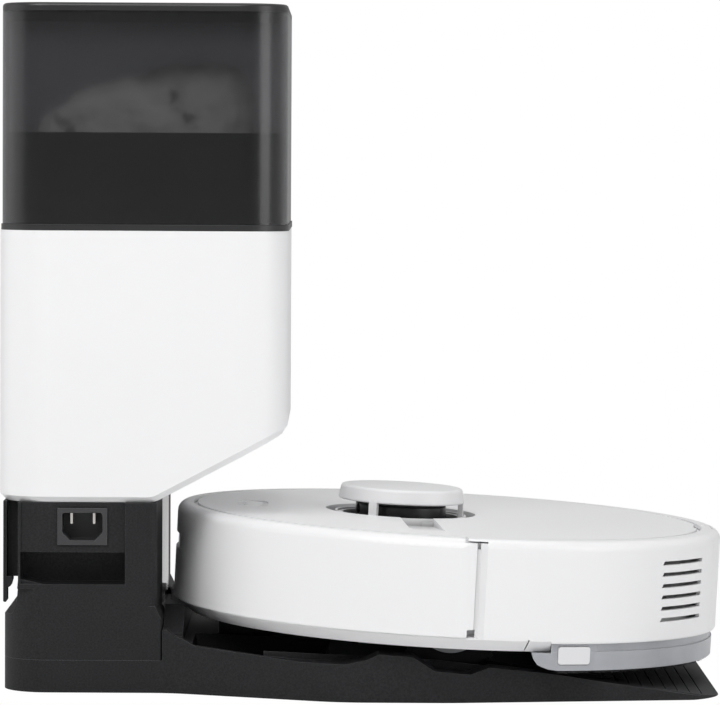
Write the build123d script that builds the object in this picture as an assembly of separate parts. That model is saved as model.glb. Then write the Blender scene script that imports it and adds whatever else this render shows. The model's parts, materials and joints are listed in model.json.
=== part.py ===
from build123d import *
import math
import os

# A robot vacuum parked on its self-emptying dock. Millimetres, +Z up. The origin is on the floor
# under the middle of the whole length. -X is the tower end, +X the ramp end, and the socket side
# of the dock faces -Y. The robot is drawn level in its own space (front to -X, its floor plane at
# z = 0) and set on the ramp by robot_seat().

os.makedirs("parts", exist_ok=True)

# ---------------------------------------------------------------- driving dimensions: the dock
floor_gap = 1.0                 # the feet hold the base this far off the floor
running_gap = 0.3               # between surfaces that slide or turn past each other
pin_clearance = 0.05            # radial clearance of a shaft in its hole

tower_length = 180.2
tower_width = 220.0
tower_corner = 31.0             # vertical corner radius
tower_wall = 2.6
tower_bottom = 119.7
tower_top = 288.8
tower_slope_start = 97.9        # from the tower's back to where the underside turns up
tower_slope_angle = 27.9
tower_kink_radius = 18.0
tower_rim_chamfer = 3.6

bezel_height = 3.7
bezel_lip = 0.8                 # how far the bezel stands out past the lid
lid_inset = 1.1                 # the lid's side behind the tower's side
lid_height = 132.6
lid_top_height = 5.0            # the cap plate above the lid's seam
lid_wall = 2.6
lid_travel = 200.0

cap_skirt_depth = 7.0            # the cap's locating ring inside the lid
cap_skirt_wall = 1.6

tub_height = 57.2               # above the bezel's top
tub_wall = 2.2

column_front = 98.5             # from the tower's back to the column's front corner
column_bulge = 2.5              # how far the column's front bows out in the middle
column_side_radius = 28.0
column_front_radius = 5.0
column_wall = 3.0
plinth_front = 103.0            # the column's square foot, from the tower's back
plinth_top = 46.2
plinth_shoulder = 9.0           # the slope that joins the foot to the column's corners
step_front = 104.0              # where the base's own front part begins, from the tower's back
column_foot = 21.3              # height of the seam between the column and the base
column_back_setback = 3.2       # from the tower's back to the column's lower back
cable_gap_depth = 13.3          # how far the column's back steps in above its lower lip
cable_lip_height = 49.0
cable_lip_depth = 9.1           # how far the back leans in just above the lip
cable_gap_roof = 71.5
rear_cover_inset = 3.4          # its outer face, from the tower's back
rear_cover_thickness = 2.2
rear_cover_bottom = 56.4
rear_cover_half_width = 100.0
rear_leg_width = 14.0           # the legs that the cover stands on beside the cable gap

window_half_width = 48.0
window_bottom = 46.5
window_seat = 1.0               # how far the window's plate reaches behind the column's corner

socket_from_back = 53.3         # the power socket's middle, from the tower's back
socket_height = 104.65
socket_outer_length = 30.8
socket_outer_height = 22.9
socket_open_length = 25.2
socket_open_height = 17.4
socket_corner_cut = 5.0
socket_depth = 18.0
socket_frame_proud = 1.6
socket_recess_start = 14.6      # the recess around it, from the tower's back
socket_recess_end = 80.0
socket_recess_depth = 3.0
cord_recess_top = 88.5
cord_recess_bottom = 68.6
cord_recess_depth = 24.0
cord_recess_ramp = 3.0          # the rise of its floor towards the back
inlet_pin_spacing = 14.0
inlet_pin_length = 12.0
inlet_pin_width = 1.5
inlet_pin_height = 6.6
inlet_pin_low = 1.3             # over the socket's middle

base_half_width = 151.5
base_tip_half_width = 128.0
base_tip_inset = 6.0            # how far the ramp's front edge stops short of the robot's rear
base_wall = 3.0
base_flare_start = 108.0        # where the plan starts to widen, from the tower's back
widest_start_from_centre = -67.5
widest_end_from_centre = 0.5
base_tip_radius = 24.0
plate_thickness = 2.0
foot_radius = 9.0

deck_half_width = 128.0         # between the two side rims
deck_gap = 0.4                  # the deck's clearance under the robot's floor plane
ramp_top_from_centre = -7.0     # where the ramp starts down, from the robot's centre
ramp_mid_from_centre = 48.0
ramp_mid_z = 18.4
ramp_tip_z = 2.4
rim_width = 6.0                 # the rim's least width beside the deck
groove_count = 9
groove_pitch = 7.5
groove_start = 11.0             # from the ramp's front edge
groove_width = 1.0
groove_depth = 0.9
pocket_floor = 14.0
nose_top = 52.0                 # the block that closes the gap between column and robot
nose_half_width = 65.0
nose_foot = 38.0                # where the block's slanted sides meet the rims
nose_foot_half_width = 104.0
nose_clear = 3.5                # between the block and the robot's bumper

mouth_length = 44.0             # the suction mouth under the robot's brush
mouth_width = 124.0
seal_width = 4.0
duct_wall = 2.0
duct_half_width = 28.0
duct_riser_length = 40.0
duct_riser_from_back = 37.5

motor_radius = 36.0             # the suction motor inside the tower
motor_height = 46.0
motor_end_radius = 24.0
motor_end_height = 20.0
motor_from_front = 54.0
exhaust_radius = 18.0
filter_radius = 32.0
filter_height = 16.0
shelf_height = 82.3             # over the tower's bottom
shelf_plate = 3.0
bag_back_room = 9.0             # between the tub's outside and the bag
bag_front_room = 13.3
bag_width = 168.0
bag_height = 104.0
bag_corner = 24.0
collar_thickness = 3.0
board_length = 62.0             # the control board beside the motor
board_height = 56.0

# ---------------------------------------------------------------- driving dimensions: the robot
robot_stand_off = 4.0           # between the column's bowed front and the bumper
robot_z = 24.8                  # the height of its floor plane under its centre
robot_tilt = 2.7                # nose up, in degrees
body_radius = 174.5
bumper_proud = 2.0              # how far the bumper stands out past the body
body_wall = 3.0
body_top = 80.0
body_skirt = 17.5               # where the side wall meets the lower bevel
belly = 11.5                    # the underside's height over the floor plane
bevel_in = 8.0
band_skirt = 18.6               # the lower band under the bumper: its bevel and top
band_top = 19.4
band_in = 8.5
band_end = 45.2                 # from the robot's centre to its slanted end
band_slant = 1.3
slit_width = 0.8
band_tail_end = 60.7            # where the mop bracket takes over from the band
top_edge_radius = 6.0
bumper_lip = 9.7
bumper_travel = 1.6
bumper_end_round = 20.0         # how the bumper's side turns in before its end
bumper_end_run = 9.0
bumper_top_end = 7.5            # its top stops short under the rim by this much
rim_slit_low = 77.3             # the slit over the groove at the bumper's end
rim_slit_high = 78.3
notch_length = 3.8
notch_low = 19.7
notch_high = 24.4
window_low = 51.0
window_high = 61.0
window_angle = 11.0             # half the bumper window's arc, in degrees
bumper_end = 12.2               # the bumper's ends, from the robot's centre
bumper_clear = 5.0              # radial room behind the bumper

disc_inset = 13.0               # the top disc's edge inside the body's
disc_shift = -2.3
disc_thickness = 2.7
turret_x = -32.5
turret_radius = 40.8
turret_bottom = 87.0
turret_top = 96.5
turret_taper = 1.6              # the cap's side leans in by this much at its top
pillar_wall = 3.4
turret_travel = 1.2
turret_well_radius = 48.5
drum_radius = 29.2
drum_top = 85.2

vent_count = 6
vent_low = 30.2
vent_pitch = 7.07
vent_height = 2.4
vent_slant = 1.6                # how far each slot's lower edge runs on at its front end
vent_start_angle = 25.2
vent_end_angle = 41.3

button_x = -128.0
button_spacing = 14.5
button_radius = 6.2
button_travel = 0.8
pill_length = 48.0
pill_width = 19.0
pill_depth = 1.0

wheel_radius = 35.0
wheel_width = 22.0
wheel_middle = 112.0            # from the robot's centre line
wheel_axle_z = 25.8
wheel_lugs = 30
lug_depth = 2.2
hub_radius = 22.0
axle_radius = 3.0
module_pivot_x = -34.0
module_pivot_z = 34.0
module_width = 13.5

brush_x = -38.0
brush_z = 23.5
brush_radius = 20.0
brush_core = 11.0
brush_half_length = 72.0
brush_blades = 6
brush_box_length = 62.0
brush_box_wall = 3.0
brush_box_top = 50.0

side_brush_x = -100.0
side_brush_y = 100.0
side_brush_radius = 59.0
side_brush_low = 5.0
side_brush_arms = 3
side_brush_angle = 40.0         # how the arms stand at rest

caster_x = -118.0
caster_radius = 12.0
caster_trail = 4.0
caster_width = 14.0
caster_cup_radius = 20.5

battery_width = 42.0
fan_radius = 27.0
fan_wall_gap = 0.95             # between the fan's scroll and the chassis wall
fan_bin_gap = 15.0              # between the scroll and the dust bin, where its inlet runs

mop_inset = 2.1                 # the mop bracket's edge inside the body's
mop_start = 49.2                # from the robot's centre to its front edge
mop_nose_length = 16.0          # the front edge curves back by this much towards its foot
mop_rim_low = 0.6               # the bracket's rim round the cloth
mop_rim_width = 2.4
mop_low = 2.6
mop_high = 16.9
mop_step = 12.0
mop_step_in = 1.0
mop_cloth_low = 0.5
mop_travel = 130.0
latch_length = 22.2
latch_height = 11.0
latch_depth = 7.0
latch_corner = 2.0
latch_low = 4.3
latch_from_centre = 75.5
latch_travel = 2.0

bin_front = 62.0
bin_half_width = 52.0
bin_wall = 2.0
bin_travel = 120.0
bin_latch_half_width = 14.0
bin_latch_length = 6.0
bin_latch_travel = 1.5

# ---------------------------------------------------------------- values worked out from them
slope = math.tan(math.radians(robot_tilt))
bumper_radius = body_radius + bumper_proud
disc_radius = body_radius - disc_inset
mop_radius = body_radius - mop_inset
# the robot's rear reaches furthest at its top edge, because it leans back
robot_rear = body_radius * math.cos(math.radians(robot_tilt))
robot_rear += (body_top - top_edge_radius) * math.sin(math.radians(robot_tilt))
robot_from_back = column_front + column_bulge + robot_stand_off + bumper_radius
overall_length = robot_from_back + robot_rear
tower_back = -overall_length / 2
robot_x = tower_back + robot_from_back
tower_front = tower_back + tower_length
tower_half = tower_width / 2
slope_x = tower_back + tower_slope_start
slope_top = tower_bottom + (tower_front - slope_x) * math.tan(math.radians(tower_slope_angle))
bezel_top = tower_top + bezel_height
lid_top = bezel_top + lid_height + lid_top_height
lid_seam = bezel_top + lid_height
tub_top = bezel_top + tub_height
column_back = tower_back + column_back_setback
column_face = tower_back + column_front
plinth_face = tower_back + plinth_front
base_step = tower_back + step_front
base_end = robot_x + body_radius - base_tip_inset
widest_start = robot_x + widest_start_from_centre
widest_end = robot_x + widest_end_from_centre
ramp_mid_x = robot_x + ramp_mid_from_centre
duct_x0 = tower_back + duct_riser_from_back
duct_x1 = duct_x0 + duct_riser_length
contact_x = -134.0              # the robot's charging strips, in its own space
contact_y = 34.0
mouth_x = robot_x + brush_x


def floor_plane(x):
    """Height of the robot's own floor plane over the dock's X."""
    return robot_z - (x - robot_x) * slope


# ---------------------------------------------------------------- small helpers
def block(x, y, z):
    """A box between two limits on each axis."""
    limits = (x, y, z)
    middle = [(low + high) / 2 for low, high in limits]
    size = [high - low for low, high in limits]
    return Pos(*middle) * Box(*size)


def drum(radius, z, at=(0.0, 0.0)):
    """An upright cylinder between two heights."""
    return Pos(at[0], at[1], (z[0] + z[1]) / 2) * Cylinder(radius, z[1] - z[0])


def ring(outer, inner, z, at=(0.0, 0.0)):
    """An upright tube between two heights."""
    return drum(outer, z, at) - drum(inner, (z[0] - 1, z[1] + 1), at)


def cross_rod(radius, y, at):
    """A rod along Y through the point (x, z)."""
    return Pos(at[0], (y[0] + y[1]) / 2, at[1]) * Rot(90, 0, 0) * Cylinder(radius, y[1] - y[0])


def side_profile(points, y, radii=0.0):
    """An outline in X and Z, pulled along Y between two limits."""
    corners = [Vector(px, y[0], pz) for px, pz in points]
    return extrude(make_face(outline(corners, radii)), amount=y[1] - y[0], dir=(0, 1, 0))


def plan_profile(points, z, radii=0.0):
    """An outline in X and Y, pulled up between two heights."""
    corners = [Vector(px, py, z[0]) for px, py in points]
    return extrude(make_face(outline(corners, radii)), amount=z[1] - z[0], dir=(0, 0, 1))


def outline(corners, radii):
    """A closed outline with sharp corners, or with the radii given for its corners."""
    if radii == 0.0:
        return Polyline(*corners, close=True)
    return FilletPolyline(*corners, radius=radii, close=True)


def turned(points, radii=0.0):
    """An outline in radius and height, turned round the Z axis."""
    corners = [Vector(r, 0, z) for r, z in points]
    return revolve(make_face(outline(corners, radii)), Axis.Z)


def rounded_plan(x, half_width, z, radius):
    """An upright block with rounded vertical corners."""
    flat = Pos((x[0] + x[1]) / 2, 0, z[0]) * RectangleRounded(x[1] - x[0], 2 * half_width, radius)
    return extrude(flat, amount=z[1] - z[0], dir=(0, 0, 1))


def front_of(x, size=400.0):
    """The half space on the tower side of x."""
    return block((x - size, x), (-size, size), (-size, size))


def back_of(x, size=400.0):
    """The half space on the ramp side of x."""
    return block((x, x + size), (-size, size), (-size, size))


def wedge(start, end, reach, z):
    """A pie slice round the Z axis between two angles."""
    mid = (start + end) / 2
    tips = [(0.0, 0.0)]
    for angle in (start, mid, end):
        tips.append((reach * math.cos(math.radians(angle)), reach * math.sin(math.radians(angle))))
    return plan_profile(tips, z)


def save(name, shape):
    """Write a dock piece, drawn in place."""
    export_step(shape, f"parts/{name}.step")


def robot_seat(shape):
    """Set a piece from the robot's own space on the ramp."""
    return Location((robot_x, 0, robot_z), (0, robot_tilt, 0)) * shape


def save_robot(name, shape):
    """Write a robot piece, set on the ramp."""
    save(name, robot_seat(shape))


def save_group(name, shapes):
    """Write several alike dock pieces as one node."""
    save(name, Compound(children=shapes))


def save_robot_group(name, shapes):
    """Write several alike robot pieces as one node, set on the ramp."""
    save_group(name, [robot_seat(shape) for shape in shapes])


# ---------------------------------------------------------------- the dock's base
def base_plan(inset, z):
    """The base's plan outline, drawn in by inset."""
    side = tower_half - inset
    wide = base_half_width - inset
    tip = base_tip_half_width - inset
    back = column_back + inset
    points = [
        (back, -side),
        (tower_back + base_flare_start, -side),
        (widest_start, -wide),
        (widest_end, -wide),
        (base_end - inset, -tip),
        (base_end - inset, tip),
        (widest_end, wide),
        (widest_start, wide),
        (tower_back + base_flare_start, side),
        (back, side),
    ]
    corner = column_side_radius - inset
    tip_corner = base_tip_radius - inset
    radii = [corner, 60.0, 90.0, 120.0, tip_corner, tip_corner, 120.0, 90.0, 60.0, corner]
    return plan_profile(points, z, radii)


def rim_line():
    """The side rims' top edge, from the column to the ramp's tip."""
    return [
        (base_step + 2.0, 40.6),
        (base_step + 7.0, 36.6),
        (base_step + 11.3, 35.6),
        (base_step + 19.6, 31.2),
        (base_step + 85.0, 24.8),
        (base_step + 113.0, 24.2),
        (base_step + 126.0, 27.0),
        (base_step + 134.0, 30.6),
        (base_step + 155.0, 29.0),
        (base_step + 168.0, 20.5),
        (base_step + 190.0, 18.3),
        (base_step + 202.0, 22.6),
        (base_step + 245.0, 17.6),
        (base_step + 275.0, 12.4),
        (base_end - 26.0, ramp_tip_z + 3.0),
        (base_end - 10.0, ramp_tip_z + 0.8),
        (base_end, ramp_tip_z),
    ]


def deck_line():
    """The deck's top between the rims: level with the robot's floor plane, then the ramp."""
    ramp_x = robot_x + ramp_top_from_centre
    start = base_step + 12.0
    return [
        (start, floor_plane(start) - deck_gap),
        (ramp_x, floor_plane(ramp_x) - deck_gap),
        (ramp_mid_x, ramp_mid_z),
        (base_end, ramp_tip_z),
    ]


def body_under(line, y, drop=0.0, start=None):
    """Everything below a top line, down to the base's foot."""
    first = line[0][0] if start is None else start
    top = [(px, pz - drop) for px, pz in line]
    points = [(first, floor_gap), (first, top[0][1])] + top + [(line[-1][0], floor_gap)]
    if first == line[0][0]:
        points.pop(1)
    return side_profile(points, y)


wide = (-base_half_width - 10, base_half_width + 10)
deck_span = (-deck_half_width, deck_half_width)
strip_half = 50.0               # the raised middle strip that the caster rolls on
wheel_inner = wheel_middle - wheel_width / 2
wheel_outer = wheel_middle + wheel_width / 2
track_side_gap = 3.0
track_y = (wheel_inner - track_side_gap, wheel_outer + track_side_gap)
wheel_low = wheel_axle_z - wheel_radius
pocket_start = base_step + 13.0
pocket_end = base_step + 115.0


def track_height(x):
    """The wheel track's surface, just under the wheels as the robot rolls off."""
    return floor_plane(x) + wheel_low - running_gap


plan = base_plan(0.0, (floor_gap, 60.0))
rims = body_under(rim_line(), wide, start=column_back)
deck_core = body_under(deck_line(), deck_span, start=column_back)
# the deck lies inside the rims, which keep their width where the plan narrows
deck_plan = base_plan(rim_width, (0.0, 80.0)) & block((base_step + 12.0, base_end + 5), deck_span, (0, 80))
deck_plan += block((ramp_mid_x + 40.0, base_end + 5), deck_span, (0, 80))
solid_base = ((rims - deck_plan) + (deck_core & (deck_plan + front_of(base_step + 12.0)))) & plan
# the foot under the column
solid_base -= block((tower_back - 5, plinth_face + running_gap), wide, (column_foot, 80))
# side pockets for the brush, on both sides of the caster strip
for side in (-1, 1):
    near, far = sorted((side * strip_half, side * (deck_half_width - 1)))
    pocket = side_profile(
        [
            (pocket_start, 60.0),
            (pocket_start + 8.0, pocket_floor),
            (pocket_end - 16.0, pocket_floor),
            (pocket_end, 60.0),
        ],
        (near, far),
    )
    solid_base -= pocket & base_plan(rim_width, (0.0, 80.0))
# wheel tracks: a well under each wheel that runs out into the ramp
track_run = 130.0
for side in (-1, 1):
    near, far = sorted((side * track_y[0], side * (track_y[1] + 1.0)))
    well_x = robot_x - 37.0
    solid_base -= side_profile(
        [
            (well_x, 60.0),
            (well_x + 13.0, track_height(robot_x - 20.0)),
            (robot_x, track_height(robot_x)),
            (robot_x + track_run, track_height(robot_x + track_run)),
            (robot_x + track_run, 60.0),
        ],
        (near, far),
    )
# the nose block between the column and the robot's round front
nose_section = [
    Vector(plinth_face, -nose_foot_half_width, column_foot),
    Vector(plinth_face, -nose_foot_half_width, nose_foot),
    Vector(plinth_face, -nose_half_width, nose_top),
    Vector(plinth_face, nose_half_width, nose_top),
    Vector(plinth_face, nose_foot_half_width, nose_foot),
    Vector(plinth_face, nose_foot_half_width, column_foot),
]
nose_face = make_face(Polyline(*nose_section, close=True))
nose = extrude(nose_face, amount=base_step + 12.0 - plinth_face, dir=(1, 0, 0))
nose += block((base_step, base_step + 40.0), (-strip_half, strip_half), (column_foot, nose_top))
nose -= drum(bumper_radius + nose_clear, (0.0, 90.0), (robot_x, 0.0))
nose -= block((column_face - 10, plinth_face + running_gap), wide, (0, 80))
solid_base += nose
# the suction mouth
mouth_span = (mouth_x - mouth_length / 2, mouth_x + mouth_length / 2)
mouth_y = (-mouth_width / 2, mouth_width / 2)
solid_base -= block(mouth_span, mouth_y, (0, 80))
# anti-slip grooves across the ramp's end
for k in range(groove_count):
    gx = base_end - groove_start - k * groove_pitch
    gz = ramp_tip_z + (base_end - gx) * (ramp_mid_z - ramp_tip_z) / (base_end - ramp_mid_x)
    solid_base -= block((gx - groove_width, gx), (-base_tip_half_width + 4, base_tip_half_width - 4),
                        (gz - groove_depth, gz + 10))

# the tip's underside turns up a little
tip_under = [
    (base_end - 16.0, 0.0),
    (base_end - 16.0, floor_gap),
    (base_end + 1.0, floor_gap + 0.8),
    (base_end + 1.0, 0.0),
]
solid_base -= side_profile(tip_under, wide)

# hollow it from below, leaving the walls
plate_seat = floor_gap + 0.4 + plate_thickness
hollow_plan = base_plan(base_wall, (0.0, 60.0))
column_hollow = block((column_back + base_wall, base_step + 2.0), (-tower_half + 6, tower_half - 6),
                      (0.0, column_foot - base_wall))
strip_hollow = side_profile(
    [
        (base_step + 2.0, 0.0),
        (base_step + 2.0, column_foot - base_wall),
        (base_step + 14.0, column_foot - base_wall),
        (robot_x + ramp_top_from_centre, column_foot - base_wall),
        (ramp_mid_x, ramp_mid_z - base_wall - 1.0),
        (base_end - 72.0, 5.0),
        (base_end - 72.0, 0.0),
    ],
    (-strip_half + base_wall, strip_half - base_wall),
)
pocket_hollow = block((pocket_start + 2.0, pocket_end - 8.0), (-tower_half, tower_half),
                      (0.0, pocket_floor - base_wall))
plate_recess = base_plan(base_wall + 1.0, (0.0, plate_seat))
plate_cut = plate_recess - back_of(base_end - 60.0)
mouth_recess = block((mouth_span[0] - duct_wall - 0.6, mouth_span[1] + duct_wall + 0.6),
                     (mouth_y[0] - duct_wall - 0.6, mouth_y[1] + duct_wall + 0.6), (0.0, 18.0))
base_shell = solid_base - (column_hollow & hollow_plan) - (strip_hollow & hollow_plan)
base_shell -= pocket_hollow & hollow_plan
base_shell -= plate_cut
base_shell -= mouth_recess
# the duct and the wiring pass up into the column
base_shell -= block((duct_x0 - 0.6, duct_x1 + 0.6), (-duct_half_width - 0.6, duct_half_width + 0.6), (0, 60))

# charging contacts: sprung blades in blocks on the deck
contact_world_x = robot_x + contact_x
blade_top = floor_plane(contact_world_x) + belly - running_gap - 0.1
blade_length = 16.0
blade_width = 6.0
blade_travel = 2.0
block_height = blade_top - 2.4
blade_slot_depth = 8.0
post_wall = 3.0


def blade_block(side, grow, z):
    """A block over one charging blade's plan, grown by a wall or a gap."""
    reach_x = blade_length / 2 + grow
    reach_y = blade_width / 2 + grow
    return block((contact_world_x - reach_x, contact_world_x + reach_x),
                 (side * contact_y - reach_y, side * contact_y + reach_y), z)


blades = []
for side in (-1, 1):
    base_shell += blade_block(side, post_wall, (floor_plane(contact_world_x) - 4.0, block_height))
    base_shell -= blade_block(side, running_gap, (block_height - blade_slot_depth, block_height + 1))
    blade_low = block_height - blade_slot_depth + blade_travel + running_gap
    blades.append(blade_block(side, 0.0, (blade_low, blade_top)))
save("dock_base", base_shell)
save_group("dock_contacts", blades)

plate = base_plan(base_wall + 1.3, (floor_gap + 0.3, plate_seat)) - back_of(base_end - 60.3)
save("base_plate", plate)

foot_spots = [
    (column_back + 24, -tower_half + 26),
    (column_back + 24, tower_half - 26),
    (robot_x - 40, -base_half_width + 22),
    (robot_x - 40, base_half_width - 22),
    (base_end - 90, -base_tip_half_width + 12),
    (base_end - 90, base_tip_half_width - 12),
]
save_group("dock_feet", [drum(foot_radius, (0.0, floor_gap + 0.3), at) for at in foot_spots])

# the dust duct: a box channel from the mouth back under the deck and up the column
duct_low = plate_seat + 0.3
duct_high = column_foot - base_wall - 0.3
duct_run = (duct_x0, mouth_span[1])
outer = block(duct_run, (-duct_half_width, duct_half_width), (duct_low, duct_high))
outer += block((mouth_span[0] - duct_wall, mouth_span[1] + duct_wall),
               (mouth_y[0] - duct_wall, mouth_y[1] + duct_wall), (duct_low, 17.6))
duct_top = bezel_top + tub_wall + 3.0
outer += block((duct_x0, duct_x1), (-duct_half_width, duct_half_width), (duct_low, duct_top))
duct_way = (-duct_half_width + duct_wall, duct_half_width - duct_wall)
inner = block((duct_x0 + duct_wall, mouth_span[1]), duct_way, (duct_low + duct_wall, duct_high - duct_wall))
inner += block(mouth_span, mouth_y, (duct_low + duct_wall, 40.0))
inner += block((duct_x0 + duct_wall, duct_x1 - duct_wall), duct_way, (duct_low + duct_wall, duct_top + 1))
save("dust_duct", outer - inner)

# rubber lips round the mouth, flush with the deck
seal_x = (mouth_span[0] + seal_width, mouth_span[1] - seal_width)
seal_y = (mouth_y[0] + seal_width, mouth_y[1] - seal_width)
seal_high = floor_plane(mouth_span[1]) - deck_gap
mouth_seal = block(mouth_span, mouth_y, (17.6, seal_high)) - block(seal_x, seal_y, (0, 60))
save("mouth_seal", mouth_seal)

# ---------------------------------------------------------------- the column
column_front_bow = ThreePointArc(
    (column_face, -tower_half, 0), (column_face + column_bulge, 0, 0), (column_face, tower_half, 0)
)
bow_chord = Line((column_face, tower_half, 0), (column_face, -tower_half, 0))
bow_face = make_face(column_front_bow + bow_chord)


def column_bow(z):
    """The bowed front of the column between two heights."""
    return Pos(0, 0, z[0]) * extrude(bow_face, amount=z[1] - z[0], dir=(0, 0, 1))


gap_x = tower_back + cable_gap_depth
column_side = side_profile(
    [
        (column_back, column_foot),
        (column_face + 20, column_foot),
        (column_face + 20, tower_bottom),
        (gap_x, tower_bottom),
        (gap_x, cable_gap_roof - 0.5),
        (gap_x - 1.2, cable_gap_roof - 14.0),
        (tower_back + cable_lip_depth + 1.7, cable_lip_height + 4.0),
        (tower_back + cable_lip_depth, cable_lip_height),
        (column_back, cable_lip_height),
    ],
    wide,
    [0.0, 0.0, 0.0, 0.0, 0.0, 3.0, 3.0, 1.0, 1.5],
)
column_plan = rounded_plan((column_back, column_face + 60.0), tower_half, (0, 200), column_side_radius)
column_block = rounded_plan((column_back - 60.0, column_face + 0.9), tower_half, (0, 200), column_front_radius)
bow_half = tower_half - column_front_radius
column_outer = column_plan & column_block
column_outer += column_bow((plinth_top, 200.0)) & block((tower_back, robot_x), (-bow_half, bow_half), (0, 200))
column_outer += rounded_plan((column_back, plinth_face), tower_half, (0, plinth_top), 2.0) & column_plan
shoulder_profile = [
    (column_back, plinth_top - 1.0),
    (plinth_face, plinth_top - 1.0),
    (plinth_face, plinth_top),
    (column_face, plinth_top + plinth_shoulder),
    (column_back, plinth_top + plinth_shoulder),
]
shoulder = side_profile(shoulder_profile, wide)
shoulder -= block((tower_back, robot_x), (-window_half_width - 4.0, window_half_width + 4.0), (0, 200))
shoulder = shoulder & rounded_plan((column_back, plinth_face), tower_half, (0, 200), 2.0) & column_plan
column_outer += shoulder
column_outer = column_outer & column_side
column_inner = rounded_plan((gap_x + column_wall, column_face - column_wall), tower_half - column_wall,
                            (column_foot - 1, 200), 6.0)
column = column_outer - column_inner
recess_x = (tower_back + socket_recess_start, tower_back + socket_recess_end)
near_face = -tower_half
recess_back = near_face + socket_recess_depth + column_wall
recess_walls = (recess_x[0] - 2, recess_x[1] + 2)
cord_back = near_face + cord_recess_depth + column_wall
column += block(recess_walls, (near_face + 1, recess_back), (cord_recess_bottom - 2, tower_bottom))
column += block(recess_walls, (near_face + 1, cord_back), (cord_recess_bottom - 3, cord_recess_top + 3))
column = column & column_side
column -= block(recess_x, (near_face - 1, near_face + socket_recess_depth),
                (cord_recess_bottom, tower_bottom + 1))
column -= side_profile(
    [
        (recess_x[0], cord_recess_bottom + cord_recess_ramp),
        (recess_x[0] + 14.0, cord_recess_bottom),
        (recess_x[1], cord_recess_bottom),
        (recess_x[1], cord_recess_top),
        (recess_x[0], cord_recess_top),
    ],
    (near_face - 1, near_face + cord_recess_depth),
)
socket_x = tower_back + socket_from_back
socket_hole_x = (socket_x - socket_outer_length / 2 + 2, socket_x + socket_outer_length / 2 - 2)
socket_hole_z = (socket_height - socket_outer_height / 2 + 2, socket_height + socket_outer_height / 2 - 2)
column -= block(socket_hole_x, (near_face, recess_back + 1), socket_hole_z)
# the infrared window in the middle of the bowed front
window_z = (window_bottom, tower_bottom - 2.0)
window_y = (-window_half_width, window_half_width)
window_body = column_bow(window_z) + block((column_face - window_seat, column_face), window_y, window_z)
window_body = window_body & block((column_face - 20, column_face + 20), window_y, window_z)
column -= block((column_face - column_wall, column_face), window_y, window_z)
column -= window_body
save("column_housing", column)
save("ir_window", window_body)

cover_back = tower_back + rear_cover_inset
rear_cover = block((cover_back, cover_back + rear_cover_thickness),
                   (-rear_cover_half_width, rear_cover_half_width), (rear_cover_bottom, tower_bottom))
foot_edges = [e for e in rear_cover.edges().filter_by(Axis.Y) if e.center().Z < rear_cover_bottom + 1.0]
rear_cover = fillet(foot_edges, rear_cover_thickness / 2 - 0.1)
rib_half = rear_cover_half_width - 12.0
rear_cover += block((cover_back, gap_x), (-rib_half, rib_half), (cable_gap_roof, tower_bottom))
leg_inner = rear_cover_half_width - rear_leg_width
rear_cover -= block((tower_back, gap_x), (-leg_inner, leg_inner), (0, cable_gap_roof))
leg_step = [
    (cover_back + 1.0, cable_gap_roof - 6.0),
    (cover_back + 3.2, cable_gap_roof - 6.0),
    (cover_back + 4.6, cable_gap_roof - 5.0),
    (cover_back + 5.6, cable_gap_roof - 1.5),
    (cover_back + 5.6, cable_gap_roof + 1.0),
    (cover_back + 1.0, cable_gap_roof + 1.0),
]
for side in (-1, 1):
    rear_cover += side_profile(leg_step, sorted((side * leg_inner, side * rear_cover_half_width)))
save("rear_cover", rear_cover)

# the power socket: a framed cup with two cut corners, let into the side panel
socket_face = near_face + socket_recess_depth
half_l = socket_open_length / 2
half_h = socket_open_height / 2
cup_hole = side_profile(
    [
        (socket_x - half_l + 1.2, socket_height + half_h),
        (socket_x - half_l, socket_height + half_h - 1.2),
        (socket_x - half_l, socket_height - half_h + socket_corner_cut),
        (socket_x - half_l + socket_corner_cut, socket_height - half_h),
        (socket_x + half_l - socket_corner_cut, socket_height - half_h),
        (socket_x + half_l, socket_height - half_h + socket_corner_cut),
        (socket_x + half_l, socket_height + half_h - 1.2),
        (socket_x + half_l - 1.2, socket_height + half_h),
    ],
    (socket_face - 10, socket_face + socket_depth - 2.0),
)
socket = block((socket_x - socket_outer_length / 2, socket_x + socket_outer_length / 2),
               (socket_face - socket_frame_proud, socket_face),
               (socket_height - socket_outer_height / 2, socket_height + socket_outer_height / 2))
socket += block(socket_hole_x, (socket_face - 0.5, socket_face + socket_depth), socket_hole_z)
socket -= cup_hole
socket_pins = []
pin_y = (socket_face + socket_depth - 2.0 - inlet_pin_length, socket_face + socket_depth + 4.0)
for side in (-1, 1):
    px = socket_x + side * inlet_pin_spacing / 2
    pin_low = socket_height + inlet_pin_low
    socket_pins.append(block((px - inlet_pin_width / 2, px + inlet_pin_width / 2), pin_y,
                             (pin_low, pin_low + inlet_pin_height)))
for pin in socket_pins:
    socket -= pin
save("power_socket", socket)
save_group("socket_pins", socket_pins)

# ---------------------------------------------------------------- the tower
def tower_form(inset, z_low, z_high):
    """The tower's body drawn in by inset: rounded plan, flat bottom, rising front underside."""
    run = inset / math.cos(math.radians(tower_slope_angle))
    lift = run if inset else 0.0
    x0 = tower_back + inset
    x1 = tower_front - inset
    start = slope_x + (z_low - tower_bottom) / math.tan(math.radians(tower_slope_angle))
    start -= lift / math.sin(math.radians(tower_slope_angle)) if inset else 0.0
    front_z = z_low + (x1 - start) * math.tan(math.radians(tower_slope_angle))
    points = [(x0, z_low), (start, z_low), (x1, front_z), (x1, z_high), (x0, z_high)]
    profile = side_profile(points, wide, [0.0, tower_kink_radius + inset, 0.0, 0.0, 0.0])
    return profile & rounded_plan((x0, x1), tower_half - inset, (0, 500), tower_corner - inset)


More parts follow.
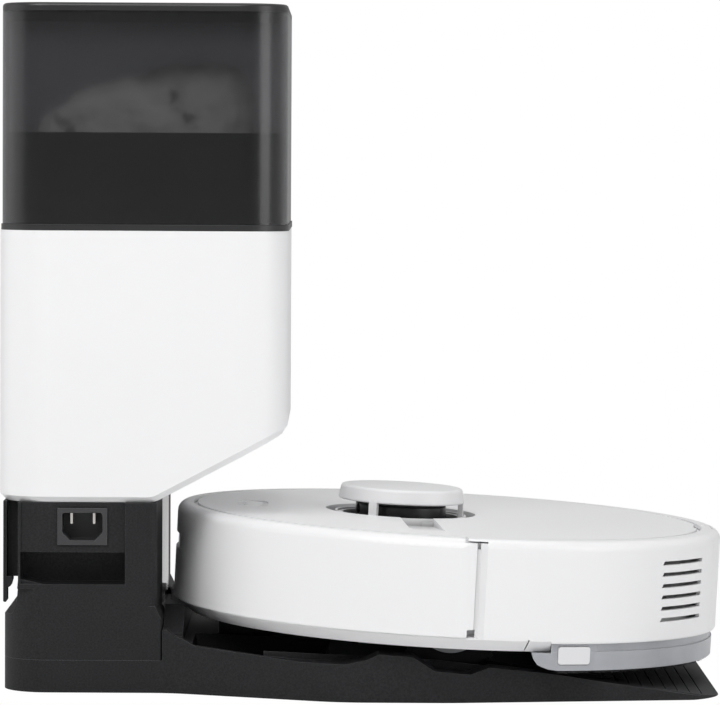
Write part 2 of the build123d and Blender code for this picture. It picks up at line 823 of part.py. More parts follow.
tower = tower_form(0.0, tower_bottom, tower_top)
lower_faces = [f for f in tower.faces() if f.normal_at().Z < -0.3 and f.center().Z < slope_top]
rim_edges = []
for face in lower_faces:
    for edge in face.edges():
        shared = [g for g in lower_faces if g is not face and any(edge.is_same(o) for o in g.edges())]
        if not shared:
            rim_edges.append(edge)
tower = chamfer(rim_edges, tower_rim_chamfer)
tower -= tower_form(tower_wall, tower_bottom + tower_wall, tower_top + 5)
tower -= block((duct_x0 - 0.6, duct_x1 + 0.6), (-duct_half_width - 0.6, duct_half_width + 0.6),
               (tower_bottom - 1, tower_bottom + tower_wall + 1))
# a moulded shelf inside carries the suction motor
motor_x = tower_front - motor_from_front
shelf_z = (tower_bottom + shelf_height, tower_bottom + shelf_height + shelf_plate)
shelf_x = (duct_x1 + 4.0, tower_front - tower_wall + 0.5)
motor_shelf = block(shelf_x, (-tower_half + tower_wall - 0.5, tower_half - tower_wall + 0.5), shelf_z)
motor_shelf = motor_shelf & rounded_plan((tower_back + 1.0, tower_front - 1.0), tower_half - 1.0,
                                         (0, 500), tower_corner - 1.0)
tower += motor_shelf - drum(exhaust_radius, (0, 500), (motor_x, 0))
save("tower_housing", tower)

lid_back = tower_back + lid_inset
lid_front = tower_front - lid_inset + 0.7
lid_half = tower_half - lid_inset
lid_corner = tower_corner - lid_inset
tub_gap = 0.6
tub_x = (lid_back + lid_wall + tub_gap, lid_front - lid_wall - tub_gap)
tub_half = lid_half - lid_wall - tub_gap
tub_corner = lid_corner - lid_wall - tub_gap

bezel = rounded_plan((lid_back - bezel_lip, lid_front + bezel_lip), lid_half + bezel_lip,
                     (tower_top, bezel_top), lid_corner + bezel_lip)
bezel -= rounded_plan((tub_x[0] + 6, tub_x[1] - 6), tub_half - 6, (0, 500), tub_corner - 6)
bezel += rounded_plan((tower_back + tower_wall + running_gap, tower_front - tower_wall - running_gap),
                      tower_half - tower_wall - running_gap, (tower_top - 6, tower_top),
                      tower_corner - tower_wall - running_gap) - rounded_plan(
    (tub_x[0] + 1, tub_x[1] - 1), tub_half - 1, (0, 500), tub_corner - 1)
save("tower_bezel", bezel)

tub = rounded_plan(tub_x, tub_half, (bezel_top, tub_top), tub_corner)
tub -= rounded_plan((tub_x[0] + tub_wall, tub_x[1] - tub_wall), tub_half - tub_wall,
                    (bezel_top + tub_wall, tub_top + 1), tub_corner - tub_wall)
tub -= block((duct_x0 - running_gap, duct_x1 + running_gap),
             (-duct_half_width - running_gap, duct_half_width + running_gap),
             (bezel_top - 1, bezel_top + tub_wall + 1))
save("bag_tub", tub)

lid = rounded_plan((lid_back, lid_front), lid_half, (bezel_top + running_gap, lid_seam), lid_corner)
lid -= rounded_plan((lid_back + lid_wall, lid_front - lid_wall), lid_half - lid_wall,
                    (0, lid_seam + 1), lid_corner - lid_wall)
save("lid", lid)

lid_plate = rounded_plan((lid_back, lid_front), lid_half, (lid_seam, lid_top), lid_corner)
lid_plate = fillet([e for e in lid_plate.edges() if abs(e.bounding_box().min.Z - lid_top) < 0.01], 2.2)
lid_plate -= rounded_plan((lid_back + lid_wall, lid_front - lid_wall), lid_half - lid_wall,
                          (lid_seam - 1, lid_top - 2.4), lid_corner - lid_wall)
skirt_x = (lid_back + lid_wall + 0.1, lid_front - lid_wall - 0.1)
skirt_half = lid_half - lid_wall - 0.1
skirt_corner = lid_corner - lid_wall - 0.1
cap_skirt = rounded_plan(skirt_x, skirt_half, (lid_seam - cap_skirt_depth, lid_top - 2.0), skirt_corner)
cap_skirt -= rounded_plan((skirt_x[0] + cap_skirt_wall, skirt_x[1] - cap_skirt_wall),
                          skirt_half - cap_skirt_wall, (0, 500), skirt_corner - cap_skirt_wall)
save("lid_cap", lid_plate + cap_skirt)

# the dust bag on its collar, standing on the duct's end
collar_z = (duct_top + 0.1, duct_top + 0.1 + collar_thickness)
duct_mid = (duct_x0 + duct_x1) / 2
collar = rounded_plan((duct_mid - 34, duct_mid + 34), 44.0, collar_z, 6.0)
collar -= drum(16.0, (0, 500), (duct_mid, 0))
save("bag_collar", collar)
bag_low = collar_z[1] + running_gap
bag = block((tub_x[0] + bag_back_room, tub_x[1] - bag_front_room), (-bag_width / 2, bag_width / 2),
            (bag_low, bag_low + bag_height))
bag = fillet(bag.edges(), bag_corner)
save("dust_bag", bag)

# the suction motor, its filter and the control board inside the tower
motor_middle = shelf_z[1] + motor_height
motor = drum(motor_radius, (shelf_z[1], motor_middle), (motor_x, 0))
motor += drum(motor_end_radius, (motor_middle, motor_middle + motor_end_height), (motor_x, 0))
motor += drum(exhaust_radius - 0.5, (shelf_z[0] - 6.0, shelf_z[1]), (motor_x, 0))
save("suction_motor", motor)
exhaust_filter = ring(filter_radius, exhaust_radius, (shelf_z[0] - filter_height, shelf_z[0]), (motor_x, 0))
save("dock_filter", exhaust_filter)
board_y = -tower_half + tower_wall
board_x = (shelf_x[0] + 2.0, shelf_x[0] + 2.0 + board_length)
dock_board_z = (shelf_z[1] + 6.0, shelf_z[1] + 6.0 + board_height)
dock_board = block(board_x, (board_y + 8, board_y + 9.6), dock_board_z)
for bx in (board_x[0] + 6.0, board_x[1] - 6.0):
    for bz in (dock_board_z[0] + 6.0, dock_board_z[1] - 6.0):
        dock_board += Pos(bx, board_y + 4, bz) * Rot(90, 0, 0) * Cylinder(2.5, 8.0)
save("dock_board", dock_board)

# ---------------------------------------------------------------- the robot's shells
inner_radius = body_radius - body_wall
bumper_inner = bumper_radius - body_wall
channel_radius = bumper_inner - 1.7
front_wall_radius = bumper_radius - body_wall - bumper_clear
chassis_radius = front_wall_radius - body_wall - 0.2
disc_low = body_top - disc_thickness
shelf_thickness = 3.0
shelf_low = disc_low - shelf_thickness
chassis_plate = 3.0
mop_roof = body_skirt - running_gap
bin_low = mop_roof + chassis_plate + running_gap
bin_high = disc_low - 0.5


def skin(radius, wall, lip_radius):
    """The robot's side wall as one turned shell: lower bevel, wall, round edge and top lip."""
    lower = radius - bevel_in
    edge = radius - top_edge_radius
    shell = turned(
        [
            (lower, belly),
            (radius, body_skirt),
            (radius, body_top),
            (lip_radius, body_top),
            (lip_radius, body_top - 2.4),
            (edge, body_top - 2.4),
            (radius - wall, body_top - 5.5),
            (radius - wall, body_skirt + 1.2),
            (lower, belly + 3.4),
        ],
        [0.0, 2.0, top_edge_radius, 0.0, 0.0, 1.0, 1.0, 0.0, 0.0],
    )
    return shell


def low_band(wall):
    """The band under the bumper: the floor's edge, a bevel, a short wall and a flange on top."""
    foot = body_radius - band_in
    return turned(
        [
            (wall - 5.5, belly),
            (foot, belly),
            (body_radius, band_skirt),
            (body_radius, band_top),
            (wall - 1.0, band_top),
            (wall - 1.0, band_top - 2.0),
            (body_radius - 4.6, band_top - 2.0),
            (foot - 0.6, belly + 3.2),
            (wall - 6.0, belly + 3.0),
        ]
    )


def before_slit(shift):
    """The half space ahead of the slanted slit at the band's end."""
    low_x = band_end - band_slant + shift
    high_x = band_end + band_slant + shift
    lean = [(-400, belly), (low_x, belly), (high_x, band_top), (high_x, 60.0), (-400, 60.0)]
    return side_profile(lean, (-400, 400))


# the outside of the body as one solid, to trim what stands near its round top edge
skin_solid = drum(body_radius, (0, body_top))
skin_solid = fillet([e for e in skin_solid.edges() if e.center().Z > body_top - 0.1], top_edge_radius)

# bumper: the front half, with a slot for its window and a small notch at each end
bumper = skin(bumper_radius, body_wall, bumper_radius - bumper_lip) & front_of(bumper_end)
bumper -= block((-400, 400), (-400, 400), (0, band_top + running_gap))
window_slice = wedge(180 - window_angle, 180 + window_angle, 400.0, (window_low, window_high))
bumper -= window_slice & ring(bumper_radius + 2, bumper_inner - 2, (window_low, window_high))
bumper -= block((bumper_end - bumper_top_end, 400), (-400, 400), (rim_slit_low, 90))
turn_x = bumper_end - bumper_end_run
turn_y = math.sqrt(bumper_radius ** 2 - turn_x ** 2)
turn_share = 1.0 - bumper_end_round / bumper_radius
notches = []
for side in (-1, 1):
    end_strip = block((turn_x, bumper_end + 1), sorted((side * (turn_y - 20.0), side * 200.0)), (0, 90))
    bumper -= end_strip - drum(bumper_end_round, (0, 90), (turn_x * turn_share, side * turn_y * turn_share))
    spot = sorted((side * (bumper_inner - 8.0), side * (bumper_radius + 3)))
    notches.append(block((bumper_end - notch_length, bumper_end + 1), spot, (notch_low, notch_high)))
for notch in notches:
    bumper -= notch
save_robot("bumper", bumper)
bumper_window = window_slice & ring(bumper_radius - 1.4, bumper_inner - 0.1, (window_low, window_high))
save_robot("bumper_window", bumper_window)

# upper shell: rear wall, channels for the bumper's ends, inner front wall, shelf for the disc
wall_start = bumper_end + 6.5
wall_foot = band_top             # the inner walls stand on the chassis's lower band
rear_skin = skin(body_radius, body_wall, disc_radius + 0.3) & back_of(wall_start)
channel_top = body_top - 6.5     # under the bumper's inner corner
every = (-400, 400)
mop_clear = block((mop_start - 1.0, 400), every, (0, mop_roof))
rear_skin -= mop_clear
rear_skin -= block((0, band_tail_end), every, (0, band_top))
rear_lip_start = bumper_end + bumper_travel + 0.6
top_rim = skin(body_radius, body_wall, disc_radius + 0.3)
rim_start = bumper_end - bumper_top_end + bumper_travel + running_gap
top_rim = top_rim & block((rim_start, wall_start), every, (rim_slit_high, 90))
channel = ring(channel_radius, channel_radius - body_wall, (wall_foot, channel_top))
channel = channel & block((bumper_end - 3.0, wall_start + 1.0), every, (0, 90))
# behind the bumper's end the wall rises to a thin slit, and sweeps out to the body's side
tall_wall = ring(channel_radius, channel_radius - body_wall, (channel_top - 1.0, rim_slit_low))
channel += tall_wall & block((rear_lip_start, wall_start + 1.0), every, (0, 90))
sweep_start = rear_lip_start + 0.4
sweep_end = wall_start + 1.5
sweep = ring(body_radius - 0.2, channel_radius - 1.0, (wall_foot, rim_slit_low))
sweep = sweep & block((sweep_start, sweep_end), every, (0, 90))
start_y = math.sqrt(channel_radius ** 2 - sweep_start ** 2)
end_y = math.sqrt((body_radius - 0.1) ** 2 - sweep_end ** 2)
for side in (-1, 1):
    corner = [
        (sweep_start, side * start_y),
        (sweep_end, side * end_y),
        (sweep_end + 20.0, side * end_y),
        (sweep_end + 20.0, side * (body_radius + 20.0)),
        (sweep_start, side * (body_radius + 20.0)),
    ]
    sweep -= plan_profile(corner, (0, 100))
sweep = sweep & skin_solid
channel += sweep
front_wall = ring(front_wall_radius, front_wall_radius - body_wall, (wall_foot, disc_low))
front_wall = front_wall & front_of(bumper_end + 2.0)
shelf = ring(front_wall_radius, 140.0, (shelf_low, disc_low)) & front_of(wall_start)
shelf += ring(inner_radius + 1.0, 140.0, (shelf_low, disc_low)) & back_of(wall_start)
bridge = ring(channel_radius, front_wall_radius - body_wall, (wall_foot, channel_top))
bridge = bridge & block((bumper_end - 3.0, bumper_end + 2.0), every, (0, 90))
upper_shell = rear_skin + top_rim + channel + front_wall + shelf + bridge
end_joint = ring(body_radius - 0.5, channel_radius - 1.5, (wall_foot, rim_slit_low))
upper_shell += end_joint & block((wall_start, wall_start + 3.0), every, (0, 90)) & skin_solid
for notch in notches:
    upper_shell -= notch
# the exhaust slots, each with a slanted front end
vent_middle = (vent_start_angle + vent_end_angle) / 2
vent_half = body_radius * math.sin(math.radians((vent_end_angle - vent_start_angle) / 2))
for k in range(vent_count):
    low = vent_low - vent_height / 2 + k * vent_pitch
    slot_outline = [
        Vector(inner_radius - 6.0, -vent_half - vent_slant, low),
        Vector(inner_radius - 6.0, vent_half, low),
        Vector(inner_radius - 6.0, vent_half, low + vent_height),
        Vector(inner_radius - 6.0, -vent_half, low + vent_height),
    ]
    slot = extrude(make_face(Polyline(*slot_outline, close=True)), amount=20.0, dir=(1, 0, 0))
    upper_shell -= Rot(0, 0, -vent_middle) * slot
bin_slot = block((100, 400), (-bin_half_width - running_gap, bin_half_width + running_gap), (0, 100))
upper_shell -= bin_slot
# the short piece of the band behind the slit
band_tail = low_band(chassis_radius) - before_slit(slit_width)
band_tail = band_tail & block((0, band_tail_end), every, (0, band_top))
upper_shell += band_tail - drum(chassis_radius + running_gap, (0, 60))
save_robot("upper_shell", upper_shell)

# chassis: floor plate with its rim, stepped up at the rear over the mop bracket
chassis_rim_top = 30.0
chassis = drum(chassis_radius - 5.5, (belly, belly + chassis_plate))
chassis += ring(chassis_radius, chassis_radius - chassis_plate, (belly, chassis_rim_top))
chassis += low_band(chassis_radius) & before_slit(0.0)
chassis -= mop_clear
raised = drum(chassis_radius, (mop_roof, mop_roof + chassis_plate)) & back_of(mop_start - 4.0)
step = drum(chassis_radius, (belly, mop_roof + chassis_plate))
step = step & block((mop_start - 4.0, mop_start - 1.0), every, (0, 60))
chassis += raised + step
chassis -= block((100, 400), (-bin_half_width - running_gap, bin_half_width + running_gap),
                 (bin_low - running_gap, 100))
brush_box_x = (brush_x - brush_box_length / 2, brush_x + brush_box_length / 2)
brush_box_half = brush_half_length + 1.0 + brush_box_wall + 3.0
chassis -= block((brush_box_x[0] - running_gap, brush_box_x[1] + running_gap),
                 (-brush_box_half - running_gap, brush_box_half + running_gap),
                 (0, belly + chassis_plate + 1))
module_inner = wheel_inner - 1.5 - module_width
for side in (-1, 1):
    near, far = sorted((side * (module_inner - 1.0), side * (wheel_outer + 2.0)))
    chassis -= block((-wheel_radius - 6.0, wheel_radius + 3.0), (near, far), (0, belly + chassis_plate + 1))
cup_roof = 27.0
caster_boss_top = 36.0
stem_radius = 4.0
chassis -= drum(caster_cup_radius, (0, belly + chassis_plate + 1), (caster_x, 0))
chassis += ring(caster_cup_radius + 2.0, caster_cup_radius, (belly, cup_roof), (caster_x, 0))
stem_hole = stem_radius + pin_clearance
chassis += ring(caster_cup_radius + 2.0, stem_hole, (cup_roof, cup_roof + 2.5), (caster_x, 0))
chassis += ring(stem_radius + 3.0, stem_hole, (cup_roof, caster_boss_top), (caster_x, 0))
side_shaft = 3.5
side_at = (side_brush_x, side_brush_y)
chassis += drum(side_shaft + 5.0, (belly, belly + 14.0), side_at)
chassis -= drum(side_shaft + pin_clearance, (0, 60), side_at)
# pads for the charging strips, cliff sensors and screws
strip_length = 20.0
strip_width = 9.0
strip_depth = 1.2
strips = []
for side in (-1, 1):
    strip_y = (side * contact_y - strip_width / 2, side * contact_y + strip_width / 2)
    strips.append(block((contact_x - strip_length / 2, contact_x + strip_length / 2), strip_y,
                        (belly, belly + strip_depth)))
for strip in strips:
    chassis -= strip
cliff_angles = (150.0, 210.0, 112.0, 248.0)
sensor = block((147.5, 156.5), (-10.0, 10.0), (belly, belly + strip_depth))
sensors = [Rot(0, 0, angle) * sensor for angle in cliff_angles]
for cut in sensors:
    chassis -= cut
screw_spots = [
    (-142.0, 62.0),
    (-142.0, -62.0),
    (-16.0, -147.0),
    (-16.0, 147.0),
    (40.0, 60.0),
    (40.0, -60.0),
]
screw_head = 3.0
for at in screw_spots:
    chassis -= drum(screw_head + 0.1, (belly - 1, belly + 1.6), at)
    chassis -= drum(1.3, (0, belly + chassis_plate + 1), at)
battery_x = (-100.0, -46.0)
battery_reach = chassis_radius - 6.0       # its outer corner, from the robot's centre
battery_side = -math.sqrt(battery_reach ** 2 - battery_x[0] ** 2)
battery_y = (battery_side, battery_side + battery_width)
door = block(battery_x, battery_y, (belly, belly + chassis_plate))
door_gap = 0.2
chassis -= block((battery_x[0] - door_gap, battery_x[1] + door_gap),
                 (battery_y[0] - door_gap, battery_y[1] + door_gap), (0, belly + chassis_plate + 1))
# bearing ears for the two suspension pivots
pivot_radius = 2.5
ear_thickness = 3.0
ear_y = (module_inner - 0.5 - ear_thickness, module_inner - 0.5)
for side in (-1, 1):
    near, far = sorted((side * ear_y[0], side * ear_y[1]))
    chassis += block((module_pivot_x - 6.0, module_pivot_x + 6.0), (near, far),
                     (belly, module_pivot_z + 6.0))
    chassis -= cross_rod(pivot_radius + pin_clearance, (near - 1, far + 1),
                         (module_pivot_x, module_pivot_z))
save_robot("chassis", chassis)
save_robot("battery_door", door)
battery = block((battery_x[0] + 1.5, battery_x[1] - 1.5), (battery_y[0] + 1.5, battery_y[1] - 1.5),
                (belly + chassis_plate, belly + chassis_plate + 36.0))
save_robot("battery", fillet(battery.edges().filter_by(Axis.Y), 5.0))
save_robot_group("charging_strips", strips)
save_robot_group("cliff_sensors", sensors)
screws = []
for at in screw_spots:
    screw = drum(screw_head, (belly + 0.1, belly + 1.6), at) + drum(1.3, (belly + 1.6, belly + 7.0), at)
    screw -= Pos(at[0], at[1], belly + 0.4) * Box(3.6, 0.8, 1.0)
    screw -= Pos(at[0], at[1], belly + 0.4) * Box(0.8, 3.6, 1.0)
    screws.append(screw)
save_robot_group("chassis_screws", screws)

# ---------------------------------------------------------------- the robot's top
disc_at = (disc_shift, 0.0)
cover = drum(disc_radius, (disc_low, body_top), disc_at)
cover -= drum(turret_well_radius, (disc_low - 1, body_top + 1), (turret_x, 0))
pill = Pos(button_x, 0, body_top - pill_depth) * SlotOverall(pill_length, pill_width, rotation=90)
cover -= extrude(pill, amount=5.0, dir=(0, 0, 1))
button_spots = [(button_x, -button_spacing), (button_x, 0.0), (button_x, button_spacing)]
for at in button_spots:
    cover -= drum(button_radius + running_gap, (disc_low - 1, body_top + 1), at)
# the shallow scoop that runs out from the turret's well towards -Y
scoop_offset = (-2.7, 17.3)
scoop_turn = 3.7
scoop_depth = 5.0
scoop_shell = 1.6
scoop_reach = -disc_radius + 26.0
scoop_start = -turret_well_radius + 12.0
slit_end = scoop_reach + 14.0


def scoop_form(grow, deeper, y_far):
    """The scoop's wedge under the disc's top, grown to the sides and downwards."""
    low = body_top - scoop_depth - deeper
    outline_points = [
        Vector(scoop_offset[0] - grow, y_far, low),
        Vector(scoop_offset[0] - grow, -turret_well_radius, low),
        Vector(scoop_offset[0] - grow, scoop_reach, body_top - deeper),
        Vector(scoop_offset[0] - grow, scoop_reach, body_top + 2),
        Vector(scoop_offset[0] - grow, y_far, body_top + 2),
    ]
    wedge_face = make_face(Polyline(*outline_points, close=True))
    form = extrude(wedge_face, amount=scoop_offset[1] - scoop_offset[0] + 2 * grow, dir=(1, 0, 0))
    return Pos(turret_x, 0, 0) * Rot(0, 0, scoop_turn) * form


scoop_pan = scoop_form(scoop_shell, scoop_shell, scoop_start) & drum(disc_radius, (0, disc_low + 0.5), disc_at)
scoop_pan -= drum(turret_well_radius + 4.0 + running_gap, (0, 100), (turret_x, 0))
cover += scoop_pan
cover -= scoop_form(0.0, 0.0, scoop_start)
scoop_slit = block((scoop_offset[0] - 1.3, scoop_offset[0] + 0.1), (slit_end, -turret_well_radius + 6),
                   (disc_low - 8.0, body_top + 2))
cover -= Pos(turret_x, 0, 0) * Rot(0, 0, scoop_turn) * scoop_slit
finger_notch = block((disc_radius + disc_shift - 2.0, 400), (-11.0, 11.0), (0, 100))
cover -= finger_notch
save_robot("top_cover", cover)

flange_drop = 1.7
for name, at in zip(("button_dock", "button_clean", "button_spot"), button_spots):
    button = drum(button_radius, (disc_low - flange_drop, body_top - pill_depth + 0.5), at)
    button = fillet([e for e in button.edges() if e.center().Z > body_top - pill_depth + 0.4], 0.3)
    button += drum(button_radius + 0.8, (disc_low - flange_drop, disc_low - running_gap), at)
    save_robot(name, button)

# laser turret: a base dish, a turning drum on its shaft, and the cap on its pillars
dish_floor = (shelf_low - 2.0, shelf_low + 0.2)
dish = drum(turret_well_radius + 4.0, dish_floor, (turret_x, 0))
dish += ring(turret_well_radius + 4.0, turret_well_radius, (dish_floor[0], disc_low), (turret_x, 0))
shaft_radius = 3.0
dish += drum(9.0, (dish_floor[0] - 8.0, dish_floor[0]), (turret_x, 0))
dish -= drum(shaft_radius + pin_clearance, (0, 100), (turret_x, 0))
dish -= scoop_form(scoop_shell + running_gap, scoop_shell + running_gap, -turret_well_radius + 1.0)
ring_outer = turret_radius - 0.2
ring_inner = ring_outer - pillar_wall
pillar_angles = (-117.5, -6.0, 78.0, 132.0)
pillar_foot = dish_floor[1] + turret_travel + running_gap
# a collar on the dish guides the cap's foot ring
collar_inner = ring_outer + running_gap
dish += ring(collar_inner + 1.6, collar_inner, (dish_floor[1] - 0.2, pillar_foot + 3.0), (turret_x, 0))
save_robot("turret_base", dish)
cap = turned(
    [
        (0.0, turret_bottom),
        (turret_radius, turret_bottom),
        (turret_radius - turret_taper, turret_top),
        (0.0, turret_top),
    ],
    [0.0, 1.2, 2.2, 0.0],
)
cap = Pos(turret_x, 0, 0) * cap
cap -= drum(ring_inner, (turret_bottom - 1, turret_top - 2.4), (turret_x, 0))
for angle in pillar_angles:
    pillar = wedge(angle - 4.0, angle + 4.0, 100.0, (pillar_foot, turret_bottom + 1.0))
    pillar = Pos(turret_x, 0, 0) * pillar
    cap += pillar & ring(ring_outer, ring_inner, (0, 200), (turret_x, 0))
cap += ring(ring_outer, ring_inner, (pillar_foot, pillar_foot + 2.0), (turret_x, 0))
save_robot("turret_cap", cap)
lidar = drum(drum_radius, (dish_floor[1] + running_gap, drum_top), (turret_x, 0))
lidar = fillet([e for e in lidar.edges() if e.center().Z > drum_top - 0.1], 1.5)
lidar += drum(shaft_radius, (dish_floor[0] - 9.0, dish_floor[1] + 2.0), (turret_x, 0))
eye_z = (dish_floor[1] + drum_top) / 2 + 1.0
for eye_y in (-9.0, 9.0):
    lidar -= Pos(turret_x - drum_radius, eye_y, eye_z) * Rot(0, 90, 0) * Cylinder(3.6, 8.0)
save_robot("lidar_drum", lidar)

# ---------------------------------------------------------------- wheels and their drive modules
tyre_core = wheel_radius - lug_depth
pivot = (module_pivot_x, module_pivot_z)
axle = (0.0, wheel_axle_z)
for name, side in (("left", -1), ("right", 1)):
    wheel_y = sorted((side * wheel_inner, side * wheel_outer))
    tyre = cross_rod(tyre_core, wheel_y, axle)
    tyre -= cross_rod(hub_radius, (wheel_y[0] - 1, wheel_y[1] + 1), axle)
    half = (wheel_y[1] - wheel_y[0]) / 2
    for k in range(wheel_lugs):
        angle = 360.0 * k / wheel_lugs
        lug_y = (wheel_y[1] - half - 1.0, wheel_y[1])
        if k % 2:
            lug_y = (wheel_y[0], wheel_y[0] + half + 1.0)
        lug = block((-2.1, 2.1), lug_y, (tyre_core - 1.5, wheel_radius))
        tyre += Pos(axle[0], 0, axle[1]) * Rot(0, angle, 0) * lug
    save_robot(f"tyre_{name}", tyre)
    hub = cross_rod(hub_radius, wheel_y, axle)
    dish_y = sorted((side * (wheel_outer - 4.0), side * (wheel_outer + 1.0)))
    hub -= cross_rod(hub_radius - 4.0, dish_y, axle)
    hub += cross_rod(8.0, sorted((side * (wheel_outer - 5.0), side * (wheel_outer - 1.0))), axle)
    axle_y = sorted((side * (module_inner + 4.0), side * wheel_inner))
    hub += cross_rod(axle_radius, axle_y, axle)
    save_robot(f"hub_{name}", hub)
    module_y = sorted((side * module_inner, side * (wheel_inner - 1.5)))
    arm = side_profile(
        [
            (module_pivot_x - 7.0, module_pivot_z - 8.0),
            (-14.0, wheel_axle_z - 13.0),
            (16.0, wheel_axle_z - 13.0),
            (18.0, wheel_axle_z + 14.0),
            (module_pivot_x + 8.0, module_pivot_z + 16.0),
            (module_pivot_x - 7.0, module_pivot_z + 9.0),
        ],
        module_y,
        [5.0, 4.0, 6.0, 8.0, 6.0, 5.0],
    )
    arm -= cross_rod(axle_radius + pin_clearance, (axle_y[0] - 1.0, axle_y[1] + 1.0), axle)
    pin_y = sorted((side * (ear_y[0] - 0.5), side * (module_inner + 1.0)))
    arm += cross_rod(pivot_radius, pin_y, pivot)
    save_robot(f"wheel_module_{name}", arm)
coils = []
for side in (-1, 1):
    coil_y = sorted((side * (brush_box_half + 0.4), side * ear_y[0]))
    coil = cross_rod(5.0, coil_y, pivot)
    coil -= cross_rod(pivot_radius + 0.8, (coil_y[0] - 1, coil_y[1] + 1), pivot)
    coils.append(coil)
save_robot_group("suspension_springs", coils)

# ---------------------------------------------------------------- main brush and its housing
box_z = (belly + 0.5, brush_box_top)
brush_box = block(brush_box_x, (-brush_box_half, brush_box_half), box_z)
bore_half = brush_half_length + 1.0
tunnel_radius = brush_radius + 2.0
bore_y = (-bore_half, bore_half)
brush_box -= cross_rod(tunnel_radius, bore_y, (brush_x, brush_z))
brush_box -= block((brush_x - tunnel_radius, brush_x + tunnel_radius), bore_y, (0, brush_z))
brush_box -= cross_rod(4.0 + pin_clearance, (-brush_box_half - 1, brush_box_half + 1), (brush_x, brush_z))
outlet_half = 34.0
outlet_z = (27.0, 42.0)
brush_box -= block((brush_x, brush_box_x[1] + 1), (-outlet_half, outlet_half), outlet_z)
outlet_duct = block((brush_box_x[1], bin_front - running_gap), (-outlet_half - 2, outlet_half + 2),
                    (outlet_z[0] - 2, outlet_z[1] + 2))
outlet_duct -= block((brush_box_x[1] - 1, bin_front + 1), (-outlet_half, outlet_half), outlet_z)
# the brush motor's casing is moulded onto the housing's roof
motor_case = Pos(brush_x + 12.0, 42.0, brush_box_top + 9.0) * Rot(90, 0, 0) * Cylinder(8.5, 40.0)
motor_case += block((brush_x + 4.0, brush_x + 20.0), (28.0, 56.0),
                    (brush_box_top - 0.5, brush_box_top + 4.0))
save_robot("brush_housing", brush_box + outlet_duct + motor_case)
brush_cover = block(brush_box_x, (-brush_box_half, brush_box_half), (belly - 1.9, belly + 0.5))
brush_cover -= block((brush_x - tunnel_radius + 2, brush_x + tunnel_radius - 2), bore_y, (0, 60))
save_robot("brush_cover", brush_cover)
roller = cross_rod(brush_core, (-brush_half_length, brush_half_length), (brush_x, brush_z))
blade = block((-1.3, 1.3), (-brush_half_length, brush_half_length), (brush_core - 2.0, brush_radius))
for k in range(brush_blades):
    roller += Pos(brush_x, 0, brush_z) * Rot(0, 360.0 * k / brush_blades, 0) * blade
roller += cross_rod(4.0, (-brush_half_length - 6.0, brush_half_length + 6.0), (brush_x, brush_z))
save_robot("main_brush", roller)

# ---------------------------------------------------------------- side brush and caster
hub_z = (side_brush_low, belly - running_gap)
spinner = drum(10.0, hub_z, side_at)
arm = block((6.0, side_brush_radius - 1.0), (-3.2, 3.2), (side_brush_low, side_brush_low + 1.6))
arm += block((18.0, side_brush_radius - 1.0), (-4.5, 4.5), (side_brush_low, side_brush_low + 1.2))
for k in range(side_brush_arms):
    angle = 360.0 * k / side_brush_arms + side_brush_angle
    spinner += Pos(side_brush_x, side_brush_y, 0) * Rot(0, 0, angle) * arm
spinner += drum(side_shaft, (side_brush_low, belly + 13.0), side_at)
save_robot("side_brush", spinner)

fork_low = 9.0
fork_roof = 26.3
fork = ring(caster_cup_radius - 1.0, caster_cup_radius - 2.6, (fork_low, fork_roof), (caster_x, 0))
fork += drum(caster_cup_radius - 1.0, (fork_roof - 1.8, fork_roof), (caster_x, 0))
wheel_slot = caster_width / 2 + 0.5
wheel_at = (caster_x + caster_trail, caster_radius)
for side in (-1, 1):
    near, far = sorted((side * wheel_slot, side * (wheel_slot + 4.0)))
    cheek = block((wheel_at[0] - 7.0, wheel_at[0] + 7.0), (near, far), (fork_low - 2.0, fork_roof))
    fork += cheek & drum(caster_cup_radius - 1.0, (0, 60), (caster_x, 0))
fork -= cross_rod(2.0 + pin_clearance, (-20, 20), wheel_at)
fork += drum(stem_radius, (fork_roof - 1.0, caster_boss_top + 1.0), (caster_x, 0))
save_robot("caster_fork", fork)
roll = cross_rod(caster_radius, (-caster_width / 2, caster_width / 2), wheel_at)
roll += cross_rod(2.0, (-wheel_slot - 3.5, wheel_slot + 3.5), wheel_at)
save_robot("caster_wheel", roll)

# ---------------------------------------------------------------- dust bin and fan
fan_side = bin_half_width + fan_bin_gap + fan_radius
fan_reach = chassis_radius - chassis_plate - fan_wall_gap - fan_radius
fan_at = (math.sqrt(fan_reach ** 2 - fan_side ** 2), -fan_side)
bin_plan = block((bin_front, 400), (-bin_half_width, bin_half_width), (bin_low, bin_high))
bin_outer = bin_plan & drum(body_radius - 4.0, (0, 200))
bin_tail = skin(body_radius, body_wall, disc_radius + 0.6) - mop_clear
bin_tail += ring(inner_radius + 1.0, inner_radius - 4.0, (mop_roof, bin_high))
bin_tail = bin_tail & block((100, 400), (-bin_half_width, bin_half_width), (mop_roof, 100))
bin_shell = bin_outer + bin_tail
bin_room = block((bin_front + bin_wall, body_radius - 16.0),
                 (-bin_half_width + bin_wall, bin_half_width - bin_wall),
                 (bin_low + bin_wall, bin_high - bin_wall))
bin_shell -= bin_room
bin_shell -= block((bin_front - 1, bin_front + bin_wall + 1), (-outlet_half, outlet_half), outlet_z)
filter_x = (fan_at[0] - 2.0, fan_at[0] + 38.0)
filter_z = (bin_low + 10.0, bin_high - 10.0)
bin_shell -= block(filter_x, (-bin_half_width - 1, -bin_half_width + bin_wall + 1), filter_z)
latch_start = disc_radius + disc_shift + 3.6
latch_x = (latch_start, latch_start + bin_latch_length)
latch_seat = body_top - 5.0
bin_shell -= block((latch_x[0] - running_gap, latch_x[1] + running_gap),
                   (-bin_latch_half_width - running_gap, bin_latch_half_width + running_gap),
                   (latch_seat, body_top + 1))
save_robot("dust_bin", bin_shell)
